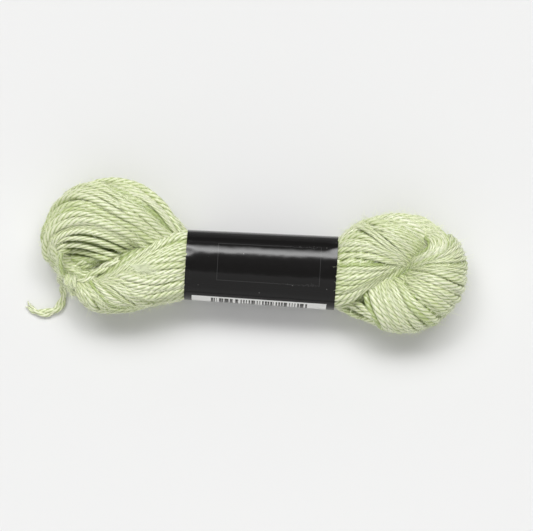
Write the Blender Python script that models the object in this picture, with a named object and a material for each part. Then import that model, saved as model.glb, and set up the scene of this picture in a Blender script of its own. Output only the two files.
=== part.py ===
"""A small twisted skein of silk floss held by a paper band, lying on a table.

Metres, +Z up. X runs along the band, Y across it, and Z = 0 is the surface the skein lies on.
The hank of floss is wound, twisted into a two-ply rope, folded on itself and slipped through
its own end loops, so each end is a rosette: one ply comes over the top out of the band, dips
under the other ply's leading edge, turns back beneath and goes home under the band.
Each ply is swept through a short table of sections, with the floss raised on it as ridges.
"""

from collections import namedtuple
from math import cos, pi, radians, sin

import bmesh
import bpy
from mathutils import Vector

MM = 0.001

# Paper band: an oval sleeve, a little wider at its right end, lapped and glued underneath.
BAND_LENGTH = 39.0 * MM
BAND_WIDTH_LEFT = 18.2 * MM
BAND_WIDTH_RIGHT = 19.2 * MM
BAND_HEIGHT = 15.6 * MM
BAND_WALL = 1.0 * MM
BAND_LAP = 0.3 * MM
BAND_LAP_FROM, BAND_LAP_TO = radians(250), radians(290)
BAND_CENTRE_Z = 9.6 * MM
BAND_SIDES = 56
GAP = 0.3 * MM
BULGE = 6.0 * MM

# The block of table that flattens the skein's underside.
TABLE_BLOCK = (0.3, 0.3, 0.1)

# Floss: ridges of the wound strands on each ply.
RIDGE_HEIGHT = 0.6 * MM
RIDGE_POINTS = 8
VOXEL = 0.45 * MM
SKEIN_TRIANGLES = 10000

# Tie thread: its round section, and the knot that closes it.
TIE_DIAMETER = 1.3 * MM
TIE_STEP = 2.6 * MM
KNOT_TUBE = 0.55 * MM
KNOT_RING = TIE_DIAMETER / 2 + GAP + KNOT_TUBE
KNOT_STRETCH = 1.5

Section = namedtuple("Section", "x y z half_width half_height")
RingSection = namedtuple("RingSection", "angle radius z half_width half_height")

# The rope's middle, squeezed by the band (mm).
NECK = (
    Section(-24.0, -0.2, 9.6, 7.0, 6.2),
    Section(-12.0, -0.1, 9.6, 8.2, 6.9),
    Section(12.0, 0.1, 9.6, 8.4, 6.9),
    Section(24.0, 0.2, 9.6, 7.0, 6.2),
)

# The ply that comes over the top at the right end, then runs back underneath (mm).
RIGHT_FRONT = (
    Section(12.0, 0.0, 10.0, 8.0, 6.6),
    Section(20.5, 0.2, 10.4, 9.4, 7.8),
    Section(24.5, 2.2, 11.0, 8.8, 8.3),
    Section(29.0, 5.6, 11.2, 8.8, 8.3),
    Section(34.2, 8.7, 10.6, 8.0, 7.8),
    Section(39.6, 9.4, 8.8, 6.6, 7.0),
    Section(44.0, 7.6, 7.4, 5.8, 6.2),
    Section(47.4, 2.6, 6.2, 5.6, 5.8),
    Section(46.8, -3.6, 5.4, 5.6, 5.6),
    Section(42.4, -7.6, 5.2, 6.0, 5.5),
    Section(35.6, -8.4, 5.2, 6.0, 5.5),
    Section(27.0, -5.6, 6.0, 5.8, 5.5),
    Section(14.0, -2.0, 8.0, 5.0, 5.0),
)

# The ply that fans out of the right rosette's middle and over its rim (degrees, mm).
RIGHT_FAN_CENTRE = (36.7, 2.7)
RIGHT_FAN = (
    RingSection(-176.0, 9.5, 5.6, 5.0, 4.4),
    RingSection(-156.0, 10.2, 6.8, 6.8, 5.4),
    RingSection(-132.0, 9.2, 8.2, 7.4, 6.4),
    RingSection(-104.0, 8.9, 9.6, 8.0, 7.5),
    RingSection(-66.0, 9.0, 10.6, 8.2, 8.3),
    RingSection(-30.0, 9.0, 11.4, 8.2, 8.7),
    RingSection(0.0, 8.9, 12.0, 8.2, 8.8),
    RingSection(22.0, 8.7, 12.4, 7.7, 8.4),
    RingSection(33.0, 8.4, 12.5, 6.6, 7.2),
    RingSection(39.0, 8.2, 12.2, 4.6, 4.8),
    RingSection(42.0, 8.0, 12.0, 1.6, 1.6),
)

# The ply that lies on top at the left end and tapers into the tie (mm).
LEFT_FRONT = (
    Section(-12.0, 0.0, 10.0, 8.0, 6.6),
    Section(-20.5, 0.0, 10.4, 9.3, 7.8),
    Section(-26.0, -1.5, 11.2, 9.3, 8.1),
    Section(-31.0, -3.9, 11.4, 8.4, 7.9),
    Section(-36.0, -6.6, 10.9, 7.2, 7.4),
    Section(-41.0, -8.1, 9.6, 5.7, 6.8),
    Section(-45.0, -7.6, 7.8, 4.2, 5.4),
    Section(-48.2, -5.4, 5.8, 3.0, 4.0),
    Section(-49.0, -2.0, 4.8, 2.6, 3.2),
)

# The ply that loops up and round the left end, then runs back underneath (mm).
LEFT_LOOP = (
    Section(-12.0, 1.0, 8.6, 6.0, 5.2),
    Section(-20.5, 3.2, 8.4, 6.6, 5.8),
    Section(-26.5, 6.6, 8.6, 7.2, 7.0),
    Section(-32.6, 10.2, 8.9, 8.8, 8.6),
    Section(-39.6, 10.8, 9.1, 10.0, 9.5),
    Section(-46.6, 10.0, 9.1, 9.0, 9.1),
    Section(-52.2, 6.6, 8.8, 5.6, 7.9),
    Section(-53.4, 2.2, 7.6, 3.8, 6.6),
    Section(-50.8, -1.2, 6.0, 4.2, 5.2),
    Section(-45.4, -2.6, 5.2, 6.4, 5.4),
    Section(-37.0, -3.4, 5.4, 7.6, 5.6),
    Section(-27.0, -2.8, 6.6, 6.8, 5.4),
    Section(-13.0, -1.0, 8.4, 5.0, 5.0),
)

# The slack strands that show deep in the hollow between the loop and the front ply (mm).
LEFT_HOLLOW = (
    Section(-53.0, 1.0, 7.2, 2.6, 4.0),
    Section(-47.0, -0.2, 8.4, 3.4, 4.2),
    Section(-41.0, 0.4, 9.6, 3.6, 4.4),
    Section(-34.0, 1.8, 10.4, 4.0, 4.6),
    Section(-26.0, 2.0, 10.4, 4.0, 4.6),
)


def ring_sections(rows, centre):
    """Turns sections given by their angle round a centre into plain ones."""
    return [
        Section(
            centre[0] + row.radius * cos(radians(row.angle)),
            centre[1] + row.radius * sin(radians(row.angle)),
            row.z,
            row.half_width,
            row.half_height,
        )
        for row in rows
    ]


# Each ply's floss: so many ridges run along it and go round it by so many turns on their way,
# or so many strands lie across it from side to side.
Ply = namedtuple("Ply", "sections rings ridges turns across")
PLIES = (
    Ply(NECK, rings=24, ridges=24, turns=0.0, across=0),
    Ply(RIGHT_FRONT, rings=150, ridges=18, turns=-0.12, across=0),
    Ply(ring_sections(RIGHT_FAN, RIGHT_FAN_CENTRE), rings=170, ridges=0, turns=0.0, across=15),
    Ply(LEFT_FRONT, rings=90, ridges=18, turns=0.05, across=0),
    Ply(LEFT_LOOP, rings=150, ridges=20, turns=-0.05, across=0),
    Ply(LEFT_HOLLOW, rings=40, ridges=8, turns=0.0, across=0),
)

# The tie: out of the crease, over the ply's tip, through the knot, then free to its cut end (mm).
RoutePoint = namedtuple("RoutePoint", "x y z")
TIE_ROUTE = (
    RoutePoint(-36.6, 0.4, 14.2),
    RoutePoint(-39.4, -1.3, 14.0),
    RoutePoint(-42.6, -3.2, 13.2),
    RoutePoint(-45.8, -4.9, 12.6),
    RoutePoint(-48.6, -5.2, 11.2),
    RoutePoint(-51.0, -4.4, 9.8),
    RoutePoint(-52.4, -4.8, 7.6),
    RoutePoint(-52.0, -6.4, 4.4),
    RoutePoint(-51.3, -8.4, 1.7),
    RoutePoint(-51.1, -10.5, 0.7),
    RoutePoint(-51.8, -12.6, 0.7),
    RoutePoint(-53.6, -14.1, 0.7),
    RoutePoint(-55.9, -14.6, 0.7),
    RoutePoint(-58.3, -14.0, 0.7),
    RoutePoint(-60.1, -12.8, 0.7),
)
KNOT_POINT = 4


def clear_scene():
    """Removes whatever the scene starts with."""
    for thing in list(bpy.data.objects):
        bpy.data.objects.remove(thing, do_unlink=True)


def material(name, colour, roughness):
    """A Principled finish of one colour."""
    made = bpy.data.materials.new(name)
    made.use_nodes = True
    shader = made.node_tree.nodes["Principled BSDF"]
    shader.inputs["Base Color"].default_value = (*colour, 1.0)
    shader.inputs["Roughness"].default_value = roughness
    shader.inputs["Metallic"].default_value = 0.0
    return made


def add_object(name, mesh, finish):
    """Links a mesh as a named object with its finish."""
    thing = bpy.data.objects.new(name, mesh)
    if finish:
        mesh.materials.append(finish)
    bpy.context.scene.collection.objects.link(thing)
    return thing


def between(before, start, end, after, t):
    """Reads the smooth curve at t of the way from start to end, with its neighbours each side."""
    slope = end - before
    bend = 2 * before - 5 * start + 4 * end - after
    twist = 3 * start - before - 3 * end + after
    return 0.5 * (2 * start + slope * t + bend * t**2 + twist * t**3)


def smooth_through(values, count):
    """Reads count + 1 evenly spaced points from the smooth curve through rows of numbers."""
    rows = [tuple(2 * a - b for a, b in zip(values[0], values[1]))]
    rows += [tuple(row) for row in values]
    rows.append(tuple(2 * a - b for a, b in zip(values[-1], values[-2])))
    spans = len(values) - 1
    points = []
    for index in range(count + 1):
        place = min(index * spans / count, spans - 1e-9)
        span, t = int(place), place % 1.0
        points.append(tuple(between(*four, t) for four in zip(*rows[span : span + 4])))
    return points


def swept_ply(mesh, ply):
    """Adds a closed ply through its sections, with its floss raised on it."""
    rings, ridges, turns, across = ply.rings, ply.ridges, ply.turns, ply.across
    rows = [Section(*row) for row in smooth_through(ply.sections, rings)]
    centres = [Vector(row[:3]) * MM for row in rows]
    sides = (ridges or 6) * RIDGE_POINTS
    loops = []
    for index, row in enumerate(rows):
        travel = index / rings
        ahead = centres[min(index + 1, rings)] - centres[max(index - 1, 0)]
        side = ahead.cross(Vector((0.0, 0.0, 1.0))).normalized()
        up = side.cross(ahead).normalized()
        loop = []
        for step in range(sides):
            angle = 2 * pi * step / sides
            if across:
                swell = abs(cos(pi * across * travel))
            else:
                swell = abs(cos(0.5 * ridges * angle + pi * ridges * turns * travel))
            rise = RIDGE_HEIGHT * (swell - 1.0)
            offset = side * ((row.half_width * MM + rise) * cos(angle))
            offset += up * ((row.half_height * MM + rise) * sin(angle))
            loop.append(mesh.verts.new(centres[index] + offset))
        loops.append(loop)
    for first, second in zip(loops, loops[1:]):
        for step in range(sides):
            other = (step + 1) % sides
            mesh.faces.new((first[step], first[other], second[other], second[step]))
    mesh.faces.new(reversed(loops[0]))
    mesh.faces.new(loops[-1])


def modifier_result(thing):
    """The object's mesh with its modifiers worked in."""
    depsgraph = bpy.context.evaluated_depsgraph_get()
    return bpy.data.meshes.new_from_object(thing.evaluated_get(depsgraph))


def band_loop(mesh, x, inset, lap):
    """One oval loop of the sleeve at x, drawn in by inset and thicker by lap where it is glued."""
    share = x / BAND_LENGTH + 0.5
    half_width = 0.5 * (BAND_WIDTH_LEFT + (BAND_WIDTH_RIGHT - BAND_WIDTH_LEFT) * share)
    loop = []
    for step in range(BAND_SIDES):
        angle = 2 * pi * step / BAND_SIDES
        lapped = lap if BAND_LAP_FROM <= angle <= BAND_LAP_TO else 0.0
        y = (half_width - inset + lapped) * cos(angle)
        z = BAND_CENTRE_Z + (BAND_HEIGHT / 2 - inset + lapped) * sin(angle)
        loop.append(mesh.verts.new((x, y, z)))
    return loop


def sleeve_mesh(name, half_length, inset_in, inset_out, lap=0.0):
    """A closed oval sleeve between two insets from the band's outer surface."""
    mesh = bmesh.new()
    loops = [
        band_loop(mesh, -half_length, inset_out, lap),
        band_loop(mesh, half_length, inset_out, lap),
        band_loop(mesh, half_length, inset_in, 0.0),
        band_loop(mesh, -half_length, inset_in, 0.0),
    ]
    for first, second in zip(loops, loops[1:] + loops[:1]):
        for step in range(BAND_SIDES):
            other = (step + 1) % BAND_SIDES
            mesh.faces.new((first[step], first[other], second[other], second[step]))
    bmesh.ops.recalc_face_normals(mesh, faces=mesh.faces)
    made = bpy.data.meshes.new(name)
    mesh.to_mesh(made)
    mesh.free()
    return made


def tie_curve(name, diameter, end_growth=0.0):
    """The tie's route as a round tube with a point every step, read from one smooth curve."""
    fine = [Vector(point) * MM for point in smooth_through(TIE_ROUTE, 400)]
    points, travelled = [fine[0]], 0.0
    for before, after in zip(fine, fine[1:]):
        travelled += (after - before).length
        if travelled >= TIE_STEP:
            points.append(after)
            travelled = 0.0
    if (fine[-1] - points[-1]).length > TIE_STEP / 2:
        points.append(fine[-1])
    else:
        points[-1] = fine[-1]
    if end_growth:
        points[0] = points[0] + (points[0] - points[1]).normalized() * end_growth
        points[-1] = points[-1] + (points[-1] - points[-2]).normalized() * end_growth
    curve = bpy.data.curves.new(name, "CURVE")
    curve.dimensions = "3D"
    curve.bevel_depth = diameter / 2
    curve.bevel_resolution = 2
    curve.use_fill_caps = True
    spline = curve.splines.new("POLY")
    spline.points.add(len(points) - 1)
    for point, place in zip(spline.points, points):
        point.co = (*place, 1.0)
    return curve


def hide_cutter(cutter):
    """Marks an object as a guide that isn't part of the skein."""
    cutter.hide_render = True
    cutter.display_type = "WIRE"


def cut_away(thing, cutter):
    """Cuts one object out of another and hides the cutter."""
    hide_cutter(cutter)
    cut = thing.modifiers.new(cutter.name, "BOOLEAN")
    cut.operation = "DIFFERENCE"
    cut.solver = "EXACT"
    cut.object = cutter


def tie_room():
    """The groove that the tie presses into the floss, a gap wider than the thread."""
    groove = bpy.data.objects.new("tie_groove", tie_curve("tie_groove", TIE_DIAMETER + 2 * GAP, GAP))
    bpy.context.scene.collection.objects.link(groove)
    room = modifier_result(groove)
    bpy.data.objects.remove(groove, do_unlink=True)
    return add_object("tie_room", room, None)


def knot_room():
    """The dent that the knot sits in, a gap wider than the knot."""
    reach = KNOT_RING + KNOT_TUBE + GAP
    bpy.ops.mesh.primitive_uv_sphere_add(
        segments=20, ring_count=12, radius=reach, location=Vector(TIE_ROUTE[KNOT_POINT]) * MM
    )
    room = bpy.context.object
    room.name = "knot_room"
    return room


def table_room():
    """The block under the skein that presses its underside flat where it lies."""
    bpy.ops.mesh.primitive_cube_add(size=1.0, location=(0.0, 0.0, -TABLE_BLOCK[2] / 2))
    room = bpy.context.object
    room.name = "table_room"
    room.scale = TABLE_BLOCK
    return room


def build_skein(finish):
    """The wound hank as one solid: its plies joined, skinned over and cut to its neighbours."""
    mesh = bmesh.new()
    for ply in PLIES:
        swept_ply(mesh, ply)
    bmesh.ops.recalc_face_normals(mesh, faces=mesh.faces)
    plies = bpy.data.meshes.new("plies")
    mesh.to_mesh(plies)
    mesh.free()
    thing = add_object("plies", plies, None)
    skin = thing.modifiers.new("skin", "REMESH")
    skin.mode = "VOXEL"
    skin.voxel_size = VOXEL
    skinned = modifier_result(thing)
    thing.modifiers.clear()
    thing.data = skinned
    fewer = thing.modifiers.new("fewer", "DECIMATE")
    fewer.ratio = SKEIN_TRIANGLES / (2 * len(skinned.polygons))
    fewer.use_collapse_triangulate = True
    solid = modifier_result(thing)
    bpy.data.objects.remove(thing, do_unlink=True)

    skein = add_object("skein", solid, finish)
    room_length = BAND_LENGTH / 2 + GAP
    rooms = [
        add_object("band_room", sleeve_mesh("band_room", room_length, BAND_WALL + GAP, -BULGE), None),
        tie_room(),
        knot_room(),
        table_room(),
    ]
    for room in rooms:
        cut_away(skein, room)
    return [skein, *rooms]


def build_band(finish):
    """The paper band with its glued lap."""
    band = add_object("band", sleeve_mesh("band", BAND_LENGTH / 2, BAND_WALL, 0.0, BAND_LAP), finish)
    band.data.shade_smooth()
    return band


def build_tie(finish):
    """The tie thread along its route, loose end and all."""
    thread = bpy.data.objects.new("tie_thread", tie_curve("tie_thread", TIE_DIAMETER))
    thread.data.materials.append(finish)
    bpy.context.scene.collection.objects.link(thread)
    return thread


def build_knot(finish):
    """The knot: fat turns of thread drawn tight round the tie, with their gap."""
    place = Vector(TIE_ROUTE[KNOT_POINT]) * MM
    along = Vector(TIE_ROUTE[KNOT_POINT + 1]) - Vector(TIE_ROUTE[KNOT_POINT - 1])
    bpy.ops.mesh.primitive_torus_add(
        major_radius=KNOT_RING,
        minor_radius=KNOT_TUBE,
        major_segments=20,
        minor_segments=10,
        location=place,
        rotation=along.to_track_quat("Z", "Y").to_euler(),
    )
    knot = bpy.context.object
    knot.name = "tie_knot"
    for vertex in knot.data.vertices:
        vertex.co.z *= KNOT_STRETCH
    knot.data.materials.append(finish)
    knot.data.shade_smooth()
    return knot


def centre_on_origin(things, measured):
    """Moves everything by one empty so that the measured pieces stand centred on the origin."""
    corners = []
    for thing in measured:
        mesh = modifier_result(thing)
        corners += [thing.matrix_world @ vertex.co for vertex in mesh.vertices]
        bpy.data.meshes.remove(mesh)
    middle = [(min(c[axis] for c in corners) + max(c[axis] for c in corners)) / 2 for axis in (0, 1)]
    frame = bpy.data.objects.new("frame", None)
    bpy.context.scene.collection.objects.link(frame)
    for thing in things:
        thing.parent = frame
    frame.location = (-middle[0], -middle[1], 0.0)
    bpy.context.view_layer.update()


def main():
    """Builds the skein, its band and its tie."""
    clear_scene()
    silk = material("silk_floss", (0.62, 0.72, 0.42), 0.45)
    paper = material("band_paper", (0.02, 0.02, 0.02), 0.3)
    skein, *rooms = build_skein(silk)
    band = build_band(paper)
    tie = build_tie(silk)
    knot = build_knot(silk)
    bpy.context.view_layer.update()
    centre_on_origin([skein, *rooms, band, tie, knot], [skein, band])


main()
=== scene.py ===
"""Looks of a small twisted skein of silk floss, held by a paper band, lying on a pale table.

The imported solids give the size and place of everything. The floss is laid strand by strand over
the same plies as the solid hank: every strand is a plied thread with its own twist, and follows
a course on the surface of the ply that it belongs to. Lengths in the tables are millimetres, in
the band's own frame: X along the band, Y across it, both from the band's middle, Z from the table.
"""

from __future__ import annotations

import logging
import math
from dataclasses import dataclass, field
from enum import Enum, IntEnum
from functools import lru_cache, reduce
from typing import Callable, NamedTuple, Sequence
import bmesh
import bpy
import numpy as np
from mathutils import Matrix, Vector


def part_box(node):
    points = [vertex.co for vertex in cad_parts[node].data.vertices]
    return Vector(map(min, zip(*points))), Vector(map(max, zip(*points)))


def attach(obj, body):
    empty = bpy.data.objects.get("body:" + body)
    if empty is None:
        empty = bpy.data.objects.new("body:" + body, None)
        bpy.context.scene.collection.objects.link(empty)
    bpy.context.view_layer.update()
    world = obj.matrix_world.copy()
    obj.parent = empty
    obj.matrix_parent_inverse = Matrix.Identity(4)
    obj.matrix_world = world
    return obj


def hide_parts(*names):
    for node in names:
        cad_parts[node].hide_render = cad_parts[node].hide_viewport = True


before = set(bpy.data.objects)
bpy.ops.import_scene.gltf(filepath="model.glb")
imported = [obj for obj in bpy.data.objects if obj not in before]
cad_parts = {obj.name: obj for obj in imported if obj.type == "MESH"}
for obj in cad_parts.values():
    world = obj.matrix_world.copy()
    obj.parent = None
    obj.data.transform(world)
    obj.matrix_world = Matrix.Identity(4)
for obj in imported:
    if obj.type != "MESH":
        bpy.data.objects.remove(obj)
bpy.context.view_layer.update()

LOG = logging.getLogger("skein")
MM = 0.001
BODY = "root"
UP = (0.0, 0.0, 1.0)

# How far a strand rises and sinks at random (mm).
ROUGH = 0.12

Colour = tuple[float, float, float]
Material = bpy.types.Material
Pair = tuple[float, float]
Piece = bpy.types.Object
Rows = np.ndarray
Socket = bpy.types.NodeSocket


class Slot(Enum):
    """The record's material slots."""

    SILK = "silk_floss"
    PAPER = "band_paper"
    TIE = "silk_tie"


class Seed(IntEnum):
    """Seeds for the randomness of each family of strands and fibres."""

    RIGHT_FRONT = 11
    RIGHT_UNDER = 12
    RIGHT_FAN = 13
    LEFT_FRONT = 21
    LEFT_LOOP = 22
    LEFT_UNDER = 23
    TIE = 31
    KNOT = 32
    LEFT_FIBRES = 41
    RIGHT_FIBRES = 42
    RIGHT_BASE = 51
    LEFT_BASE = 52


# Sections of a ply: x, y and z of the middle, half width, half height (mm).

# The rope's middle, squeezed by the band.
NECK = (
    (-24.0, -0.2, 9.6, 7.0, 6.2),
    (-12.0, -0.1, 9.6, 8.2, 6.9),
    (12.0, 0.1, 9.6, 8.4, 6.9),
    (24.0, 0.2, 9.6, 7.0, 6.2),
)

# The ply that comes over the top at the right end, then runs back underneath.
RIGHT_FRONT = (
    (12.0, 0.0, 10.0, 8.0, 6.6),
    (20.5, 0.2, 10.4, 9.4, 7.8),
    (24.5, 2.2, 11.0, 8.8, 8.3),
    (29.0, 5.6, 11.2, 8.8, 8.3),
    (34.2, 8.7, 10.6, 8.0, 7.8),
    (39.6, 9.4, 8.8, 6.6, 7.0),
    (44.0, 7.6, 7.4, 5.8, 6.2),
    (47.4, 2.6, 6.2, 5.6, 5.8),
    (46.8, -3.6, 5.4, 5.6, 5.6),
    (42.4, -7.6, 5.2, 6.0, 5.5),
    (35.6, -8.4, 5.2, 6.0, 5.5),
    (27.0, -5.6, 6.0, 5.8, 5.5),
    (14.0, -2.0, 8.0, 5.0, 5.0),
)

# The ply that fans out of the right rosette's middle and over its rim. Its sections are given by
# angle and distance round a centre instead of x and y.
RIGHT_FAN_CENTRE = (36.7, 2.7)
RIGHT_FAN = (
    (-176.0, 9.5, 5.6, 5.0, 4.4),
    (-156.0, 10.2, 6.8, 6.8, 5.4),
    (-132.0, 9.2, 8.2, 7.4, 6.4),
    (-104.0, 8.9, 9.6, 8.0, 7.5),
    (-66.0, 9.0, 10.6, 8.2, 8.3),
    (-30.0, 9.0, 11.4, 8.2, 8.7),
    (0.0, 8.9, 12.0, 8.2, 8.8),
    (22.0, 8.7, 12.4, 7.7, 8.4),
    (33.0, 8.4, 12.5, 6.6, 7.2),
    (39.0, 8.2, 12.2, 4.6, 4.8),
    (42.0, 8.0, 12.0, 1.6, 1.6),
)

# The fan's inside ends sooner, so that the front ply's strands can dive under its ridge.
RIGHT_FAN_INNER = RIGHT_FAN[:8] + (
    (27.0, 8.6, 12.4, 6.0, 6.8),
    (30.0, 8.5, 12.2, 4.0, 4.4),
    (31.5, 8.4, 12.0, 1.5, 1.5),
)

# The ply that lies on top at the left end and tapers into the tie.
LEFT_FRONT = (
    (-12.0, 0.0, 10.0, 8.0, 6.6),
    (-20.5, 0.0, 10.4, 9.3, 7.8),
    (-26.0, -1.5, 11.2, 9.3, 8.1),
    (-31.0, -3.9, 11.4, 8.4, 7.9),
    (-36.0, -6.6, 10.9, 7.2, 7.4),
    (-41.0, -8.1, 9.6, 5.7, 6.8),
    (-45.0, -7.6, 7.8, 4.2, 5.4),
    (-48.2, -5.4, 5.8, 3.0, 4.0),
    (-49.0, -2.0, 4.8, 2.6, 3.2),
)

# The ply that loops up and round the left end, then runs back underneath.
LEFT_LOOP = (
    (-12.0, 1.0, 8.6, 6.0, 5.2),
    (-20.5, 3.2, 8.4, 6.6, 5.8),
    (-26.5, 6.6, 8.6, 7.2, 7.0),
    (-32.6, 10.2, 8.9, 8.8, 8.6),
    (-39.6, 10.8, 9.1, 10.0, 9.5),
    (-46.6, 10.0, 9.1, 9.0, 9.1),
    (-52.2, 6.6, 8.8, 5.6, 7.9),
    (-53.4, 2.2, 7.6, 3.8, 6.6),
    (-50.8, -1.2, 6.0, 4.2, 5.2),
    (-45.4, -2.6, 5.2, 6.4, 5.4),
    (-37.0, -3.4, 5.4, 7.6, 5.6),
    (-27.0, -2.8, 6.6, 6.8, 5.4),
    (-13.0, -1.0, 8.4, 5.0, 5.0),
)

# The slack strands that show deep in the hollow between the loop and the front ply.
LEFT_HOLLOW = (
    (-53.0, 1.0, 7.2, 2.6, 4.0),
    (-47.0, -0.2, 8.4, 3.4, 4.2),
    (-41.0, 0.4, 9.6, 3.6, 4.4),
    (-34.0, 1.8, 10.4, 4.0, 4.6),
    (-26.0, 2.0, 10.4, 4.0, 4.6),
)

# The tie: out of the crease, over the ply's tip, through the knot, then free to its cut end.
TIE_ROUTE = (
    (-36.6, 0.4, 14.2),
    (-39.4, -1.3, 14.0),
    (-42.4, -3.3, 13.2),
    (-45.6, -5.5, 12.5),
    (-48.7, -6.0, 11.1),
    (-51.2, -4.9, 9.8),
    (-52.7, -5.0, 7.6),
    (-52.2, -6.7, 4.4),
    (-51.7, -8.6, 1.7),
    (-51.6, -10.6, 0.8),
    (-52.4, -12.8, 0.8),
    (-54.3, -14.4, 0.8),
    (-56.7, -14.9, 0.8),
    (-58.9, -14.5, 0.8),
    (-60.4, -13.4, 0.7),
)
KNOT_POINT = 4
KNOT_MIDDLE = (-48.7, -5.4, 9.5)

# The knot's cut stub and the strand that rises from the knot to beneath the loop.
KNOT_STUB = ((-48.8, -4.9, 11.4), (-49.6, -6.2, 11.2), (-49.2, -8.0, 9.8), (-48.2, -9.6, 8.2))
RISER = (
    (-50.9, -5.2, 10.2), (-51.6, -3.4, 11.6), (-52.0, -1.4, 12.6), (-51.9, 0.6, 13.4), (-51.4, 2.4, 13.2),
)

# A point inside each bulb.
BULB_MIDDLES = {"left": (-39.0, 2.0, 8.0), "right": (37.0, 1.0, 8.0)}

# Where the front ply's floss is rubbed into a pale fuzzy patch.
RUBBED_SPOT = (-31.2, -1.4)

# Courses of guide strands, seen from above, each from its start to its end. The strands between
# two guides take a course between theirs.
FRONT_RIGHT = (
    ((19.5, -8.5), (23.3, -7.3), (26.7, -5.2), (30.1, -3.2), (33.1, -0.6), (36.2, 1.9)),
    ((19.6, -5.4), (23.3, -5.0), (26.8, -4.0), (30.1, -2.4), (33.1, -0.3), (36.0, 2.0)),
    ((19.6, -2.6), (23.1, -2.5), (26.6, -2.2), (29.9, -1.2), (33.0, 0.4), (36.0, 2.2)),
    ((19.6, 0.8), (22.9, 0.5), (26.3, 0.3), (29.7, 0.6), (32.9, 1.4), (36.1, 2.4)),
    ((19.5, 4.2), (22.9, 3.9), (26.2, 3.5), (29.6, 3.1), (33.0, 2.9), (36.4, 2.7)),
    ((19.6, 7.6), (23.3, 8.1), (27.0, 8.0), (30.4, 6.7), (33.7, 5.1), (36.9, 3.2)),
    ((21.3, 10.5), (25.0, 11.6), (28.7, 11.3), (31.7, 9.0), (34.6, 6.4), (37.5, 3.8)),
    ((22.0, 11.4), (25.9, 12.7), (29.9, 12.4), (33.5, 10.4), (36.6, 7.7), (39.4, 4.7)),
    ((23.0, 12.0), (27.0, 13.7), (31.4, 13.9), (35.4, 12.4), (38.6, 9.4), (41.1, 5.9)),
    ((24.0, 12.6), (28.2, 14.5), (32.7, 15.1), (37.0, 13.7), (40.3, 10.6), (43.2, 7.0)),
    ((25.0, 12.9), (29.2, 15.3), (33.9, 16.3), (38.5, 15.1), (42.3, 12.1), (45.1, 8.2)),
    ((26.1, 13.1), (30.1, 15.7), (34.7, 16.7), (39.4, 15.9), (43.4, 13.3), (46.2, 9.4)),
)

FAN_RIGHT = (
    ((38.4, 2.9), (41.5, 4.1), (44.4, 5.6), (47.0, 7.7), (48.3, 10.6)),
    ((38.0, 2.7), (41.6, 3.8), (45.0, 5.5), (48.0, 7.7), (50.2, 10.7)),
    ((38.1, 2.6), (41.8, 3.4), (45.2, 5.0), (48.6, 6.6), (51.9, 8.3)),
    ((38.4, 2.2), (42.1, 2.6), (45.7, 3.4), (49.3, 3.9), (52.9, 4.7)),
    ((38.7, 1.8), (42.4, 1.6), (46.1, 1.4), (49.8, 0.8), (53.5, 0.2)),
    ((38.5, 1.3), (42.1, 0.5), (45.7, -0.5), (49.3, -1.2), (53.0, -1.5)),
    ((37.6, 0.7), (41.0, -1.2), (44.6, -2.7), (48.4, -3.9), (52.1, -4.9)),
    ((36.8, 0.4), (39.7, -2.4), (43.1, -4.6), (46.7, -6.3), (50.5, -7.6)),
    ((35.7, 0.0), (38.1, -3.4), (40.8, -6.4), (44.2, -8.8), (47.9, -10.6)),
    ((34.6, -0.6), (36.4, -4.1), (38.3, -7.6), (41.1, -10.4), (44.4, -12.7)),
    ((33.2, -1.2), (34.4, -4.6), (35.8, -7.8), (37.8, -10.7), (39.9, -13.6)),
    ((31.6, -2.4), (32.5, -5.5), (33.7, -8.4), (35.3, -11.1), (37.1, -13.7)),
    ((29.7, -3.7), (30.6, -6.4), (31.7, -8.9), (33.0, -11.4), (34.2, -13.9)),
    ((27.4, -5.2), (28.2, -7.7), (29.4, -10.0), (30.9, -12.1), (32.7, -14.0)),
    ((25.6, -5.9), (26.9, -7.5), (28.2, -9.1), (29.4, -10.8), (30.8, -12.4)),
    ((23.4, -6.9), (24.9, -8.5), (26.6, -9.8), (28.3, -11.1), (30.2, -12.1)),
    ((21.5, -7.9), (23.2, -9.4), (25.2, -10.7), (27.3, -11.7), (29.6, -12.2)),
)

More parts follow.
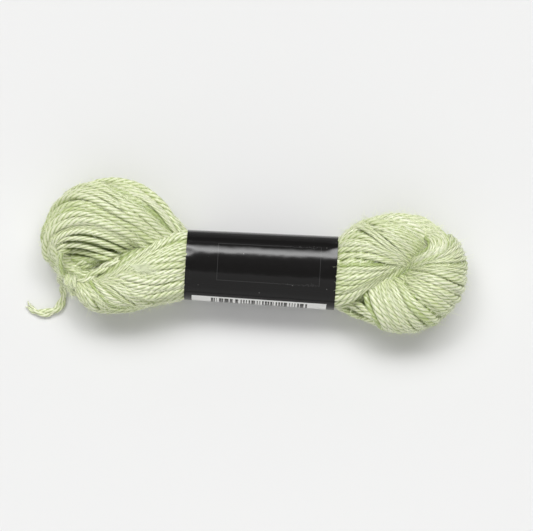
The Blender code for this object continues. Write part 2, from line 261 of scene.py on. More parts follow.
FRONT_LEFT = (
    ((-19.9, 9.0), (-23.9, 8.2), (-27.4, 6.1), (-30.6, 3.6), (-33.7, 0.9), (-37.0, -1.6)),
    ((-19.8, 6.9), (-23.8, 6.3), (-27.5, 4.8), (-30.7, 2.5), (-34.0, 0.2), (-37.2, -2.2)),
    ((-19.8, 4.8), (-23.8, 4.3), (-27.7, 3.0), (-31.2, 1.2), (-34.7, -0.9), (-38.1, -3.1)),
    ((-19.9, 2.4), (-24.0, 2.6), (-28.2, 2.0), (-32.1, 0.6), (-35.6, -1.6), (-39.2, -3.8)),
    ((-19.8, -0.6), (-24.1, -0.0), (-28.4, 0.1), (-32.7, -0.8), (-36.5, -2.7), (-40.4, -4.7)),
    ((-19.8, -2.9), (-24.0, -2.6), (-28.2, -2.3), (-32.5, -2.2), (-36.6, -2.8), (-40.4, -4.7)),
    ((-19.7, -4.4), (-23.6, -4.8), (-27.5, -4.7), (-31.2, -3.8), (-35.0, -2.8), (-38.7, -3.3)),
    ((-19.8, -5.9), (-23.8, -6.5), (-27.8, -6.5), (-31.6, -5.5), (-35.3, -4.0), (-39.2, -3.8)),
    ((-19.9, -7.4), (-24.3, -8.3), (-28.7, -8.4), (-33.0, -7.3), (-36.9, -5.2), (-41.0, -4.8)),
    ((-19.8, -8.6), (-24.4, -9.7), (-29.0, -10.4), (-33.6, -9.4), (-37.5, -6.8), (-41.5, -5.1)),
    ((-20.4, -9.1), (-25.2, -10.5), (-30.1, -11.8), (-35.1, -11.7), (-39.1, -8.7), (-43.0, -5.8)),
    ((-26.8, -11.3), (-30.7, -12.3), (-34.7, -13.0), (-38.4, -11.7), (-41.4, -9.0), (-44.4, -6.5)),
    ((-32.1, -13.2), (-35.3, -13.9), (-38.6, -13.5), (-41.4, -11.8), (-43.6, -9.5), (-45.6, -6.8)),
    ((-36.5, -14.1), (-39.3, -14.0), (-42.0, -13.3), (-44.2, -11.5), (-46.0, -9.3), (-47.4, -6.9)),
    ((-41.0, -13.7), (-43.1, -13.1), (-45.0, -12.3), (-46.7, -11.0), (-47.9, -9.3), (-48.6, -7.3)),
)

LOOP_LEFT = (
    ((-21.4, 9.2), (-23.6, 12.8), (-26.6, 15.9), (-30.1, 18.2), (-33.9, 20.0), (-37.7, 21.7)),
    ((-23.5, 9.4), (-26.2, 12.5), (-29.3, 15.3), (-32.6, 17.6), (-36.2, 19.6), (-40.0, 20.7)),
    ((-24.7, 8.7), (-28.0, 11.7), (-31.7, 14.2), (-35.4, 16.7), (-39.2, 18.9), (-43.6, 19.8)),
    ((-25.8, 7.8), (-30.0, 10.9), (-34.5, 13.7), (-38.9, 16.6), (-43.7, 18.6), (-48.9, 18.7)),
    ((-27.3, 6.8), (-32.2, 10.0), (-37.3, 12.9), (-42.6, 15.7), (-48.3, 17.1), (-53.5, 14.8)),
    ((-28.7, 5.8), (-34.0, 9.2), (-39.7, 12.1), (-45.7, 14.2), (-52.0, 14.1), (-56.1, 9.6)),
    ((-29.9, 4.8), (-35.3, 7.9), (-40.9, 10.5), (-47.0, 11.7), (-53.0, 10.2), (-56.6, 5.4)),
    ((-31.0, 4.2), (-36.2, 6.6), (-41.5, 8.7), (-47.2, 9.2), (-52.6, 7.4), (-56.4, 3.3)),
    ((-32.5, 3.2), (-37.2, 5.2), (-41.9, 6.9), (-47.0, 7.3), (-51.8, 5.6), (-55.7, 2.5)),
    ((-33.6, 2.2), (-38.1, 3.8), (-42.7, 5.0), (-47.5, 5.4), (-52.2, 4.6), (-55.4, 1.6)),
    ((-35.0, 1.3), (-39.2, 2.3), (-43.3, 3.5), (-47.5, 4.1), (-51.7, 3.5), (-55.1, 1.6)),
    ((-36.8, 0.3), (-40.6, 0.3), (-44.3, 1.4), (-48.1, 2.0), (-51.9, 1.8), (-54.8, 1.3)),
)

LOWER_RIGHT = (
    ((20.5, -7.7), (22.9, -9.6), (25.6, -10.8), (28.6, -11.5), (31.7, -11.7)),
    ((20.7, -6.7), (23.2, -8.5), (26.0, -9.9), (28.9, -10.9), (31.9, -11.4)),
    ((21.7, -6.2), (24.2, -7.7), (26.6, -9.1), (29.1, -10.5), (31.9, -11.1)),
    ((23.0, -5.7), (25.1, -7.2), (27.2, -8.7), (29.4, -10.2), (31.9, -10.8)),
)

HOLLOW_LEFT = (
    ((-41.8, -0.6), (-44.9, -2.1), (-48.2, -3.1), (-51.3, -2.1)),
    ((-41.8, -0.3), (-44.8, -0.5), (-47.8, -1.2), (-50.8, -0.8)),
)

# Strands deep in the right rosette's crease, drawn dark as painted shade.
CREASE_RIGHT = (
    ((26.6, -5.7), (30.3, -3.3), (33.8, -0.6), (37.0, 2.5), (40.8, 4.7), (44.7, 6.9)),
    ((26.3, -5.3), (30.0, -2.8), (33.5, -0.1), (36.8, 2.9), (40.5, 5.2), (44.4, 7.4)),
)

# Strands still deeper in that crease, painted darkest as shade, and strands beneath those that turn back.
CREASE_FLOOR = (
    ((33.2, -2.9), (35.2, -0.9), (37.1, 1.0), (39.6, 2.6), (42.2, 3.9)),
    ((32.7, -2.1), (34.7, -0.2), (36.7, 1.7), (39.2, 3.3), (41.8, 4.6)),
)
TURN_FLOOR = (
    ((35.4, 13.4), (38.0, 12.7), (40.6, 11.4), (42.5, 9.9), (42.9, 8.2), (41.5, 6.6), (39.4, 5.2)),
    ((36.0, 14.1), (38.8, 13.4), (41.5, 12.0), (43.3, 10.3), (43.7, 8.3), (42.2, 6.5), (40.0, 5.0)),
)

# Strands that come over the top outline, turn back and run down into the rosette's middle.
TURN_OVER = (
    ((34.3, 15.3), (36.9, 14.7), (39.3, 13.6), (41.6, 12.1), (43.4, 10.1), (43.4, 7.6),
     (41.5, 5.8), (39.2, 4.4), (36.8, 3.2)),
    ((37.4, 15.6), (40.1, 15.1), (42.5, 13.9), (44.6, 12.1), (45.9, 9.8), (44.6, 7.5),
     (42.3, 6.0), (40.0, 4.6), (37.6, 3.3)),
    ((39.5, 15.2), (42.0, 14.3), (44.2, 12.9), (46.1, 11.1), (46.6, 8.7), (44.8, 6.8),
     (42.5, 5.5), (40.2, 4.2), (37.8, 3.1)),
    ((42.1, 14.3), (44.3, 13.2), (46.3, 11.7), (47.6, 9.7), (46.7, 7.5), (44.8, 5.9),
     (42.7, 4.7), (40.4, 3.7), (38.1, 2.8)),
)


def smooth_at(rows: Sequence, places: Rows) -> Rows:
    """Reads the smooth curve through rows of numbers.

    Args:
        rows: rows of equal length, one for each point the curve goes through.
        places: where to read it, 0 at the first row and len(rows) - 1 at the last.

    Returns:
        One row of numbers for each place.
    """
    values = np.asarray(rows, dtype=float)
    values = np.concatenate([2 * values[:1] - values[1:2], values, 2 * values[-1:] - values[-2:-1]])
    spans = len(values) - 3
    places = np.clip(np.asarray(places, dtype=float), 0.0, spans - 1e-9)
    span = places.astype(int)
    t = (places - span).reshape((-1,) + (1,) * (values.ndim - 1))
    before, start, end, after = (values[span + step] for step in range(4))
    slope = end - before
    bend = 2 * before - 5 * start + 4 * end - after
    twist = 3 * start - before - 3 * end + after
    return 0.5 * (2 * start + slope * t + bend * t**2 + twist * t**3)


def smooth_through(rows: Sequence, count: int) -> Rows:
    """Reads the smooth curve through rows of numbers at so many evenly spread places."""
    return smooth_at(rows, np.linspace(0, len(rows) - 1, count))


def lengths_along(path: Rows) -> Rows:
    """The length from a path's start to each of its points."""
    steps = np.linalg.norm(np.diff(path, axis=0), axis=1)
    return np.concatenate([[0.0], np.cumsum(steps)])


def from_ends(path: Rows) -> Rows:
    """The length from each point of a path to the nearer end."""
    along = lengths_along(path)
    return np.minimum(along, along[-1] - along)


def even_rows(rows: Rows, along: Rows, count: int) -> Rows:
    """Reads rows that belong to the points of a path again, at evenly spaced lengths.

    Args:
        rows: one row for each point.
        along: the length from the path's start to each point.
        count: how many rows are wanted.

    Returns:
        The evenly spaced rows, with the first and the last.
    """
    wanted = np.linspace(0.0, along[-1], count)
    return np.stack([np.interp(wanted, along, column) for column in rows.T], axis=1)


def even_path(path: Rows, step: float) -> Rows:
    """Reads a path again at points about a step apart, with its own ends."""
    along = lengths_along(path)
    return even_rows(path, along, max(3, int(round(along[-1] / step)) + 1))


def dive_of(path: Rows, depth: float, ramp: float) -> Rows:
    """How deep each point of a strand lies whose ends dive so deep over a ramp's length."""
    return depth * (1.0 - smooth_step(0.0, ramp, from_ends(path)))


def smoothed(rows: Rows, reach: int) -> Rows:
    """Evens out numbers over so many neighbours to each side; both ends stay.

    Args:
        rows: a number or a row of numbers for each point.
        reach: how many neighbours to each side are taken in.

    Returns:
        As many smoother rows.
    """
    window = np.hanning(2 * reach + 3)[1:-1]
    window /= window.sum()
    before = 2 * rows[:1] - rows[reach:0:-1]
    after = 2 * rows[-1:] - rows[-2 : -reach - 2 : -1]
    padded = np.concatenate([before, rows, after])
    return np.apply_along_axis(np.convolve, 0, padded, window, mode="valid")


def soft_noise(rng: np.random.Generator, count: int, knots: float) -> Rows:
    """A smooth random line of about unit height, with so many bends along it."""
    knots = max(knots, 1.0)
    return smooth_at(rng.normal(0.0, 1.0, math.ceil(knots) + 2), np.linspace(0.0, knots, count))


def smooth_step(low: float, high: float, value: Rows) -> Rows:
    """Rises softly from 0 at low to 1 at high."""
    t = np.clip((value - low) / (high - low), 0.0, 1.0)
    return t * t * (3.0 - 2.0 * t)


def unit(vectors: Rows) -> Rows:
    """Makes a vector, or each row of vectors, one long."""
    return vectors / np.linalg.norm(vectors, axis=-1, keepdims=True)


def level_frames(path: Rows) -> tuple[Rows, Rows]:
    """The level side and the way up at each point of a path."""
    ahead = np.gradient(path, axis=0)
    side = unit(np.cross(ahead, UP))
    return side, unit(np.cross(side, ahead))


def carried_frames(path: Rows) -> tuple[Rows, Rows]:
    """Two directions across a path at each point, carried along it without a twist.

    Args:
        path: the points.

    Returns:
        Both directions, a row for each point.
    """
    ahead = unit(np.gradient(path, axis=0))
    current = np.cross(ahead[0], UP)
    if np.linalg.norm(current) < 0.1:
        current = np.cross(ahead[0], (0.0, 1.0, 0.0))
    side = np.empty_like(path)
    for index, way in enumerate(ahead):
        current = unit(current - way * np.dot(current, way))
        side[index] = current
    return side, np.cross(ahead, side)


def turns_round(sides: int) -> Rows:
    """The angles of so many points round a section (radians)."""
    return np.arange(sides) * 2 * math.pi / sides


def rings_round(path: Rows, side: Rows, up: Rows, radius: Rows, angle: Rows) -> Rows:
    """Rings of points round a path.

    Args:
        path: the middle of each ring.
        side: one direction across the path, for all rings or each.
        up: the other direction.
        radius: how far out each point is.
        angle: its angle from the side (radians).

    Returns:
        The points, ring by ring.
    """
    level = side[..., None, :] * (radius * np.cos(angle))[..., None]
    return path[:, None, :] + level + up[..., None, :] * (radius * np.sin(angle))[..., None]


def tube_faces(rings: int, sides: int) -> tuple[Rows, Rows]:
    """The faces of a tube whose points are given ring by ring.

    Args:
        rings: how many rings it has.
        sides: how many points each ring has.

    Returns:
        Its four-sided faces and its two end faces, facing outwards.
    """
    low = np.arange(rings - 1)[:, None] * sides
    here = np.arange(sides)[None, :]
    after = (here + 1) % sides
    quads = np.stack([low + here, low + after, low + sides + after, low + sides + here], axis=-1)
    return quads.reshape(-1, 4), np.concatenate([here[:, ::-1], here + (rings - 1) * sides])


@dataclass
class Ply:
    """A ply of the hank as a smooth surface that strands lie on.

    A place on it is its travel, from 0 at the first section to 1 at the last, and its turn, an
    angle round the section: 90 degrees is the top, 270 the bottom.
    """

    sections: Sequence
    rings: int = 240

    # How many travels and turns are tried, and what a leap from the last place costs in each.
    TRIES = (260, 160)
    LEAP_COSTS = (0.6, 0.004)
    LEAST_REACH = 0.3

    def __post_init__(self) -> None:
        """Works out the centre line, its frames and its half sizes."""
        rows = smooth_through(self.sections, self.rings + 1)
        self.travel = np.linspace(0.0, 1.0, self.rings + 1)
        self.centre, self.half = rows[:, :3], rows[:, 3:]
        self.side, self.up = level_frames(self.centre)

    def read(self, travel: Rows, values: Rows) -> Rows:
        """Reads rows that are kept for each ring at any travel."""
        return np.stack([np.interp(travel, self.travel, column) for column in values.T], axis=-1)

    def at(self, travel: Rows, turn: Rows, inset: Rows | float = 0.0) -> Rows:
        """Places on the ply's surface, or a little inside it.

        Args:
            travel: how far along the ply, 0 to 1.
            turn: the angle round its section, in degrees.
            inset: how deep below the surface (mm).

        Returns:
            The points (mm).
        """
        travel = np.clip(travel, 0.0, 1.0)
        kept = (self.centre, self.side, self.up, self.half)
        centre, side, up, half = (self.read(travel, rows) for rows in kept)
        angle = np.radians(turn)[..., None]
        reach = np.maximum(half - np.asarray(inset)[..., None], self.LEAST_REACH)
        return centre + side * (reach[..., :1] * np.cos(angle)) + up * (reach[..., 1:] * np.sin(angle))

    def locate(self, course: Sequence, travel_range: Pair, turn_range: Pair) -> Rows:
        """Finds the places on the ply under a course that is drawn as seen from above.

        Args:
            course: the (x, y) points of the course (mm).
            travel_range: the least and the most travel to look at.
            turn_range: the least and the most turn to look at, in degrees.

        Returns:
            A row of travel and turn for each point.
        """
        ranges = zip((travel_range, turn_range), self.TRIES)
        grids = np.meshgrid(*(np.linspace(*ends, tries) for ends, tries in ranges), indexing="ij")
        tried = np.stack([grid.ravel() for grid in grids], axis=1)
        seen = View.seen_from_above(self.at(*tried.T))
        places = []
        for point in course:
            gap = np.hypot(seen[:, 0] - point[0], seen[:, 1] - point[1])
            if places:
                gap = gap + np.abs(tried - places[-1]) @ self.LEAP_COSTS
            places.append(tried[np.argmin(gap)])
        return np.array(places)


class View:
    """The photograph's own view: straight down, turned a little, from far away."""

    CENTRE = (1.38, 0.99)
    PLANE_Z = 10.0
    DISTANCE = 700.0
    WIDTH = 138.6
    TURN = 3.3

    @classmethod
    def seen_from_above(cls, points: Rows) -> Rows:
        """Where points show on the plane that the courses are measured on."""
        scale = cls.DISTANCE / (cls.DISTANCE + cls.PLANE_Z - points[:, 2:])
        return cls.CENTRE + (points[:, :2] - cls.CENTRE) * scale


@dataclass
class Thread:
    """The floss's own make: a round plied thread, a little uneven (mm).

    What varies along a strand is given by how much it does and over what length.

    Attributes:
        pitch: the length of one turn of its plies (mm).
        least: the thinnest that crowded strands are pressed, relative to the thread.
        most: the thickest that loose ones swell.
        spacing: how far apart strands lie side by side (mm).
        step: how far apart the rings of points along it are (mm).
    """

    diameter: float = 1.5
    pitch: float = 8.0
    plies: int = 4
    groove: float = 0.2
    least: float = 0.6
    most: float = 1.2
    spacing: float = 1.28
    step: float = 0.6
    swell: Pair = (0.05, 9.0)
    wander: Pair = (0.25, 12.0)
    pitch_stray: float = 0.08
    tone_stray: float = 0.22
    tone_drift: Pair = (0.08, 15.0)

    @property
    def radius(self) -> float:
        """Half its thickness (mm)."""
        return 0.5 * self.diameter

    def profile(self, sides: int) -> Rows:
        """The radius of each point round the section, relative to the thread's own."""
        lobe = np.abs(np.cos(0.5 * self.plies * turns_round(sides)))
        return 1.0 - self.groove / self.radius * (1.0 - lobe) ** 1.3


class Bundle:
    """Collects swept strands into one mesh."""

    # How thick a strand's ends are, and how high a strand lies on the table, relative to its radius.
    BLUNT = 0.45
    REST = 1.06

    def __init__(self, thread: Thread, seed: Seed) -> None:
        """Starts an empty bundle with its own seeded randomness."""
        self.thread = thread
        self.rng = np.random.default_rng(int(seed))
        self.points: list[Rows] = []
        self.faces: list[Rows] = []
        self.caps: list[list[int]] = []
        self.uvs: list[Rows] = []
        self.tones: list[Rows] = []
        self.paths: list[tuple[Rows, Rows]] = []
        self.total = 0

    def sweep(
        self,
        path: Rows,
        sides: int = 16,
        size: float = 1.0,
        ends: float = 1.4,
        loosen: float = 1.0,
        coarse: float = 1.0,
        sizes: Sequence[float] = (),
        tone: float = 0.5,
    ) -> None:
        """Adds one plied strand along a path.

        Args:
            path: the centre line (mm).
            sides: points round the section, a multiple of the thread's plies.
            size: the strand's thickness relative to the thread's.
            ends: the length over which both ends taper (mm).
            loosen: how much longer than usual its twist is.
            coarse: how much further apart than usual its rings are.
            sizes: more thickness factors, evenly spaced along it.
            tone: its middle tone, 0 deep to 1 pale.
        """
        rng, thread = self.rng, self.thread
        path = even_path(path, thread.step * coarse)
        count, along = len(path), lengths_along(path)

        def uneven(share: float, length: float) -> Rows:
            """Noise of so much, which bends about once in a length."""
            return share * soft_noise(rng, count, along[-1] / length)

        swell = 1.0 + uneven(*thread.swell)
        taper = self.BLUNT + (1.0 - self.BLUNT) * smooth_step(0.0, ends, from_ends(path))
        radius = thread.radius * size * swell * taper
        if len(sizes):
            radius = radius * smooth_through(sizes, count)
        pitch = thread.pitch * loosen * (1.0 + thread.pitch_stray * rng.normal())
        wander = uneven(*thread.wander)
        spin = rng.uniform(0, 2 * math.pi) - 2 * math.pi * along / pitch + wander
        reach = radius[:, None] * thread.profile(sides)
        rings = rings_round(path, *carried_frames(path), reach, turns_round(sides) + spin[:, None])
        shade = tone + thread.tone_stray * rng.normal() + uneven(*thread.tone_drift)
        self.keep(rings, along)
        self.tones.append(np.repeat(np.clip(shade, 0, 1), sides))
        self.paths.append((path, radius))

    def keep(self, rings: Rows, along: Rows) -> None:
        """Adds a strand's points, faces and lengthwise map.

        Args:
            rings: its points, ring by ring (mm).
            along: the length from its start to each ring (mm).
        """
        count, sides = rings.shape[:2]
        quads, caps = tube_faces(count, sides)
        self.points.append(rings.reshape(-1, 3))
        self.faces.append(quads + self.total)
        self.caps += (caps + self.total).tolist()
        self.total += count * sides
        here, after = np.arange(sides) / sides, np.arange(1, sides + 1) / sides
        lengthwise = np.stack([along[:-1], along[:-1], along[1:], along[1:]], axis=-1)[:, None]
        crosswise = np.stack([here, after, after, here], axis=-1)[None]
        corners = np.broadcast_arrays(lengthwise, crosswise)
        self.uvs.append(np.stack(corners, axis=-1).reshape(-1, 2))

    def lay_path(self, path: Rows, **options: float) -> None:
        """Presses a strand into the band and onto the table, then sweeps it.

        Args:
            path: the strand's centre line (mm).
            options: passed on to the sweep.
        """
        path = BAND.squeeze(path, self.thread.radius)
        path[:, 2] = np.maximum(path[:, 2], self.thread.radius * self.REST)
        self.sweep(path, **options)

    def mesh_object(self, name: str) -> Piece:
        """Makes the bundle's mesh, with its lengthwise map and its strand tone.

        Args:
            name: the piece's name.

        Returns:
            The new object, with its place in its mesh.
        """
        faces = np.concatenate(self.faces).tolist() + self.caps
        piece = Frame.piece(name, np.concatenate(self.points), faces)
        mesh = piece.data
        uv = np.zeros((len(mesh.loops), 2), dtype=np.float32)
        mapped = np.concatenate(self.uvs)
        uv[: len(mapped)] = mapped
        mesh.uv_layers.new(name="strand").data.foreach_set("uv", uv.ravel())
        tone = mesh.attributes.new("tone", "FLOAT", "POINT")
        tone.data.foreach_set("value", np.concatenate(self.tones).astype(np.float32))
        mesh.polygons.foreach_set("use_smooth", [True] * len(mesh.polygons))
        mesh.update()
        return piece


class Frame:
    """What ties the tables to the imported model."""

    @staticmethod
    @lru_cache
    def shift() -> Rows:
        """From the band's own frame to the part's (m)."""
        low, high = (np.array(corner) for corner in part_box("band"))
        middle = 0.5 * (low + high)
        return np.array([middle[0], middle[1], 0.0])

    @classmethod
    def piece(cls, name: str, points: Rows, faces: list) -> Piece:
        """Makes a piece of points and faces.

        Args:
            name: the piece's name.
            points: its points in the band's own frame (mm).
            faces: the numbers of each face's points.

        Returns:
            The new object, with its place in its mesh.
        """
        mesh = bpy.data.meshes.new(name)
        mesh.from_pydata((points * MM + cls.shift()).tolist(), [], faces)
        return cls.link(name, mesh)

    @staticmethod
    def link(name: str, data: bpy.types.ID) -> Piece:
        """Makes an object of a mesh or curve and puts it in the scene."""
        made = bpy.data.objects.new(name, data)
        bpy.context.scene.collection.objects.link(made)
        return made


class Shop:
    """The few tools that several pieces need."""

    @staticmethod
    def clear() -> None:
        """Selects nothing."""
        bpy.ops.object.select_all(action="DESELECT")

    @classmethod
    def only(cls, piece: Piece) -> None:
        """Selects one object and nothing else."""
        cls.clear()
        piece.select_set(True)
        bpy.context.view_layer.objects.active = piece

    @classmethod
    def apply(cls, piece: Piece) -> None:
        """Works all modifiers into the mesh."""
        cls.only(piece)
        for modifier in list(piece.modifiers):
            bpy.ops.object.modifier_apply(modifier=modifier.name)
        cls.clear()

    @staticmethod
    def pick(piece: Piece, kind: str, test: Callable[[Sequence[Vector]], bool]) -> None:
        """Selects the edges or faces of a mesh in edit mode whose points pass a test.

        Args:
            piece: the object in edit mode.
            kind: EDGE or FACE.
            test: takes the points of one edge or face (m).
        """
        bpy.ops.mesh.select_mode(type=kind)
        bpy.ops.mesh.select_all(action="DESELECT")
        shape = bmesh.from_edit_mesh(piece.data)
        for part in shape.edges if kind == "EDGE" else shape.faces:
            if test([point.co for point in part.verts]):
                part.select_set(True)
        bmesh.update_edit_mesh(piece.data)


class Dent(NamedTuple):
    """A place where the paper is moved out or in, by its x and reach (mm) and turn (degrees)."""

    x: float
    turn: float
    out: float
    reach: float


@dataclass(frozen=True)
class PaperBand:
    """The paper band round the skein's middle, lapped and glued underneath.

    Attributes:
        fullness: how full its section is at the back and at the front, 2 for an ellipse.
        lap: from which turn to which the glued lap reaches (degrees).
        lap_under: how far under the rest the lap lies, relative to the paper.
        dents: a lifted place of its edge and a pressed one.
        gap: the room between floss and paper (mm).
        flare: how fast the floss swells out past the band's ends, evenly and ever faster.
    """

    length: float = 39.0
    width_left: float = 18.2
    width_right: float = 19.2
    height: float = 15.6
    centre_z: float = 9.6
    paper: float = 0.2
    fullness: Pair = (2.5, 2.08)
    sides: int = 120
    cuts: int = 34
    lap: Pair = (252.0, 294.0)
    lap_under: float = 1.15
    dents: tuple[Dent, ...] = (Dent(19.5, 47.0, 0.45, 2.4), Dent(-19.5, 68.0, -0.25, 2.0))
    soft_angle: float = 50.0
    gap: float = 0.1
    snug: float = 1.04
    flare: Pair = (0.8, 0.08)

    def half_width_at(self, x: Rows | float) -> Rows | float:
        """Half the band's width at x (mm)."""
        share = np.clip(np.asarray(x) / self.length + 0.5, 0.0, 1.0)
        return 0.5 * (self.width_left + (self.width_right - self.width_left) * share)

    def reach(self, across: Rows | float, up: Rows | float) -> Rows | float:
        """How far out a place is, 1 on the band: fuller than an ellipse, as stuffed paper is.

        Args:
            across: how far it is towards the back, relative to the half width.
            up: how far it is up, relative to the half height.

        Returns:
            The relative reach.
        """
        power = np.where(np.asarray(across) > 0.0, *self.fullness)
        return (np.abs(across) ** power + np.abs(up) ** power) ** (1.0 / power)

    def fill_out(self, piece: Piece) -> None:
        """Rounds an elliptic sleeve out to the band's own section.

        Args:
            piece: the sleeve, in edit mode.
        """
        shape = bmesh.from_edit_mesh(piece.data)
        middle = Frame.shift() + np.array([0.0, 0.0, self.centre_z]) * MM
        for vertex in shape.verts:
            x, y, z = (np.array(vertex.co) - middle) / MM
            grow = 1.0 / float(self.reach(y / float(self.half_width_at(x)), z / (0.5 * self.height)))
            vertex.co.y, vertex.co.z = middle[1] + y * grow * MM, middle[2] + z * grow * MM
        bmesh.update_edit_mesh(piece.data)

    def squeeze(self, path: Rows, radius: float) -> Rows:
        """Presses a strand into the opening where it is in or near the band.

        Args:
            path: the strand's centre line (mm).
            radius: the strand's own radius (mm).

        Returns:
            The pressed centre line.
        """
        out = path.copy()
        past = np.maximum(np.abs(out[:, 0]) - self.length / 2 + self.gap, 0.0)
        room = self.flare[0] * past + self.flare[1] * past**2
        spare = self.gap + self.paper + self.snug * radius - room
        wide = self.half_width_at(out[:, 0]) - spare
        high = self.height / 2 - spare
        reach = self.reach(out[:, 1] / wide, (out[:, 2] - self.centre_z) / high)
        pull = np.where(reach > 1.0, 1.0 / np.maximum(reach, 1e-6), 1.0)
        out[:, 1] *= pull
        out[:, 2] = self.centre_z + (out[:, 2] - self.centre_z) * pull
        return out

    def angle_of(self, point: Vector) -> float:
        """The turn of a point round the band: 0 at the back, 90 on top (degrees)."""
        x, y, z = (np.array(point) - Frame.shift()) / MM
        turn = math.atan2((z - self.centre_z) / (0.5 * self.height), y / float(self.half_width_at(x)))
        return math.degrees(turn) % 360.0

    def build(self) -> Piece:
        """Draws the sleeve out of a circle, laps it underneath and gives it the paper's thickness.

        Returns:
            The band, with its place in its mesh and its sheet mapped.
        """
        Shop.clear()
        half = self.half_length
        left, right = (Frame.shift() + np.array([end, 0.0, self.centre_z * MM]) for end in (-half, half))
        turned = (0.0, math.pi / 2, 0.0)
        radius = 0.5 * self.height * MM
        bpy.ops.mesh.primitive_circle_add(vertices=self.sides, radius=radius, location=left, rotation=turned)
        piece = bpy.context.object
        piece.name = "paper_band"
        bpy.ops.object.transform_apply(location=True, rotation=True, scale=True)
        bpy.ops.object.mode_set(mode="EDIT")
        bpy.ops.mesh.select_all(action="SELECT")
        bpy.ops.transform.resize(value=(1.0, self.width_left / self.height, 1.0), center_override=left)
        bpy.ops.mesh.extrude_region_move(TRANSFORM_OT_translate={"value": (2 * half, 0.0, 0.0)})
        bpy.ops.transform.resize(value=(1.0, self.width_right / self.width_left, 1.0), center_override=right)
        Shop.pick(piece, "EDGE", lambda points: abs(points[0].x - points[1].x) > half)
        bpy.ops.mesh.subdivide(number_cuts=self.cuts)
        self.fill_out(piece)
        bpy.ops.mesh.select_all(action="SELECT")
        bpy.ops.mesh.normals_make_consistent(inside=False)
        low, high = self.lap
        Shop.pick(piece, "FACE", lambda points: all(low <= self.angle_of(point) <= high for point in points))
        bpy.ops.mesh.duplicate()
        bpy.ops.transform.shrink_fatten(value=-self.lap_under * self.paper * MM)
        for dent in self.dents:
            self.move(piece, dent)
        bpy.ops.object.mode_set(mode="OBJECT")
        self.map_sheet(piece.data)
        thick = piece.modifiers.new("paper", "SOLIDIFY")
        thick.thickness = self.paper * MM
        thick.offset = -1.0
        Shop.apply(piece)
        Shop.only(piece)
        bpy.ops.object.shade_smooth_by_angle(angle=math.radians(self.soft_angle))
        Shop.clear()
        return piece

    @property
    def half_length(self) -> float:
        """Half the band's length (m)."""
        return 0.5 * self.length * MM

    def move(self, piece: Piece, dent: Dent) -> None:
        """Lifts or presses the paper softly round one place.

        Args:
            piece: the sleeve, in edit mode.
            dent: the place.
        """
        angle = math.radians(dent.turn)
        away = Vector((0.0, math.cos(angle), math.sin(angle)))
        share = 1.0 / float(self.reach(away.y, away.z))
        wide = float(self.half_width_at(dent.x))
        spot = (dent.x, wide * away.y * share, 0.5 * self.height * away.z * share + self.centre_z)
        middle = Vector(Frame.shift() + np.array(spot) * MM)
        shape = bmesh.from_edit_mesh(piece.data)
        nearest = min(shape.verts, key=lambda vertex: (vertex.co - middle).length)
        for part in (*shape.verts, *shape.edges, *shape.faces):
            part.select_set(False)
        nearest.select_set(True)
        bmesh.update_edit_mesh(piece.data)
        bpy.ops.mesh.select_mode(type="VERT")
        bpy.ops.transform.translate(
            value=away * dent.out * MM,
            use_proportional_edit=True,
            proportional_edit_falloff="SMOOTH",
            proportional_size=dent.reach * MM,
        )

    def map_sheet(self, mesh: bpy.types.Mesh) -> None:
        """Maps the paper: X is the length along the band, Y the arc up from its front edge (mm).

        Args:
            mesh: the sleeve's mesh.
        """
        table = np.linspace(0.0, 360.0, 721)
        wide, high = 0.25 * (self.width_left + self.width_right), 0.5 * self.height
        turned = np.radians(180.0 - table)
        arcs = lengths_along(np.column_stack([wide * np.cos(turned), high * np.sin(turned)]))
        layer = mesh.uv_layers.new(name="sheet")
        start = Frame.shift()[0] - self.half_length
        for face in mesh.polygons:
            turns = [(180.0 - self.angle_of(mesh.vertices[index].co)) % 360.0 for index in face.vertices]
            if max(turns) - min(turns) > 180.0:
                turns = [turn - 360.0 if turn > 180.0 else turn for turn in turns]
            low = np.mean(turns) > 270.0
            for loop, index, turn in zip(face.loop_indices, face.vertices, turns):
                arc = float(np.interp(abs(turn), table, arcs)) * (1 if turn >= 0 else -1)
                arc = arc - arcs[-1] if low else arc
                layer.data[loop].uv = ((mesh.vertices[index].co.x - start) / MM, arc)

    def dress(self) -> None:
        """Finishes the band."""
        dress(self.build(), PaperFinish().material(), Slot.PAPER, "band")


BAND = PaperBand()


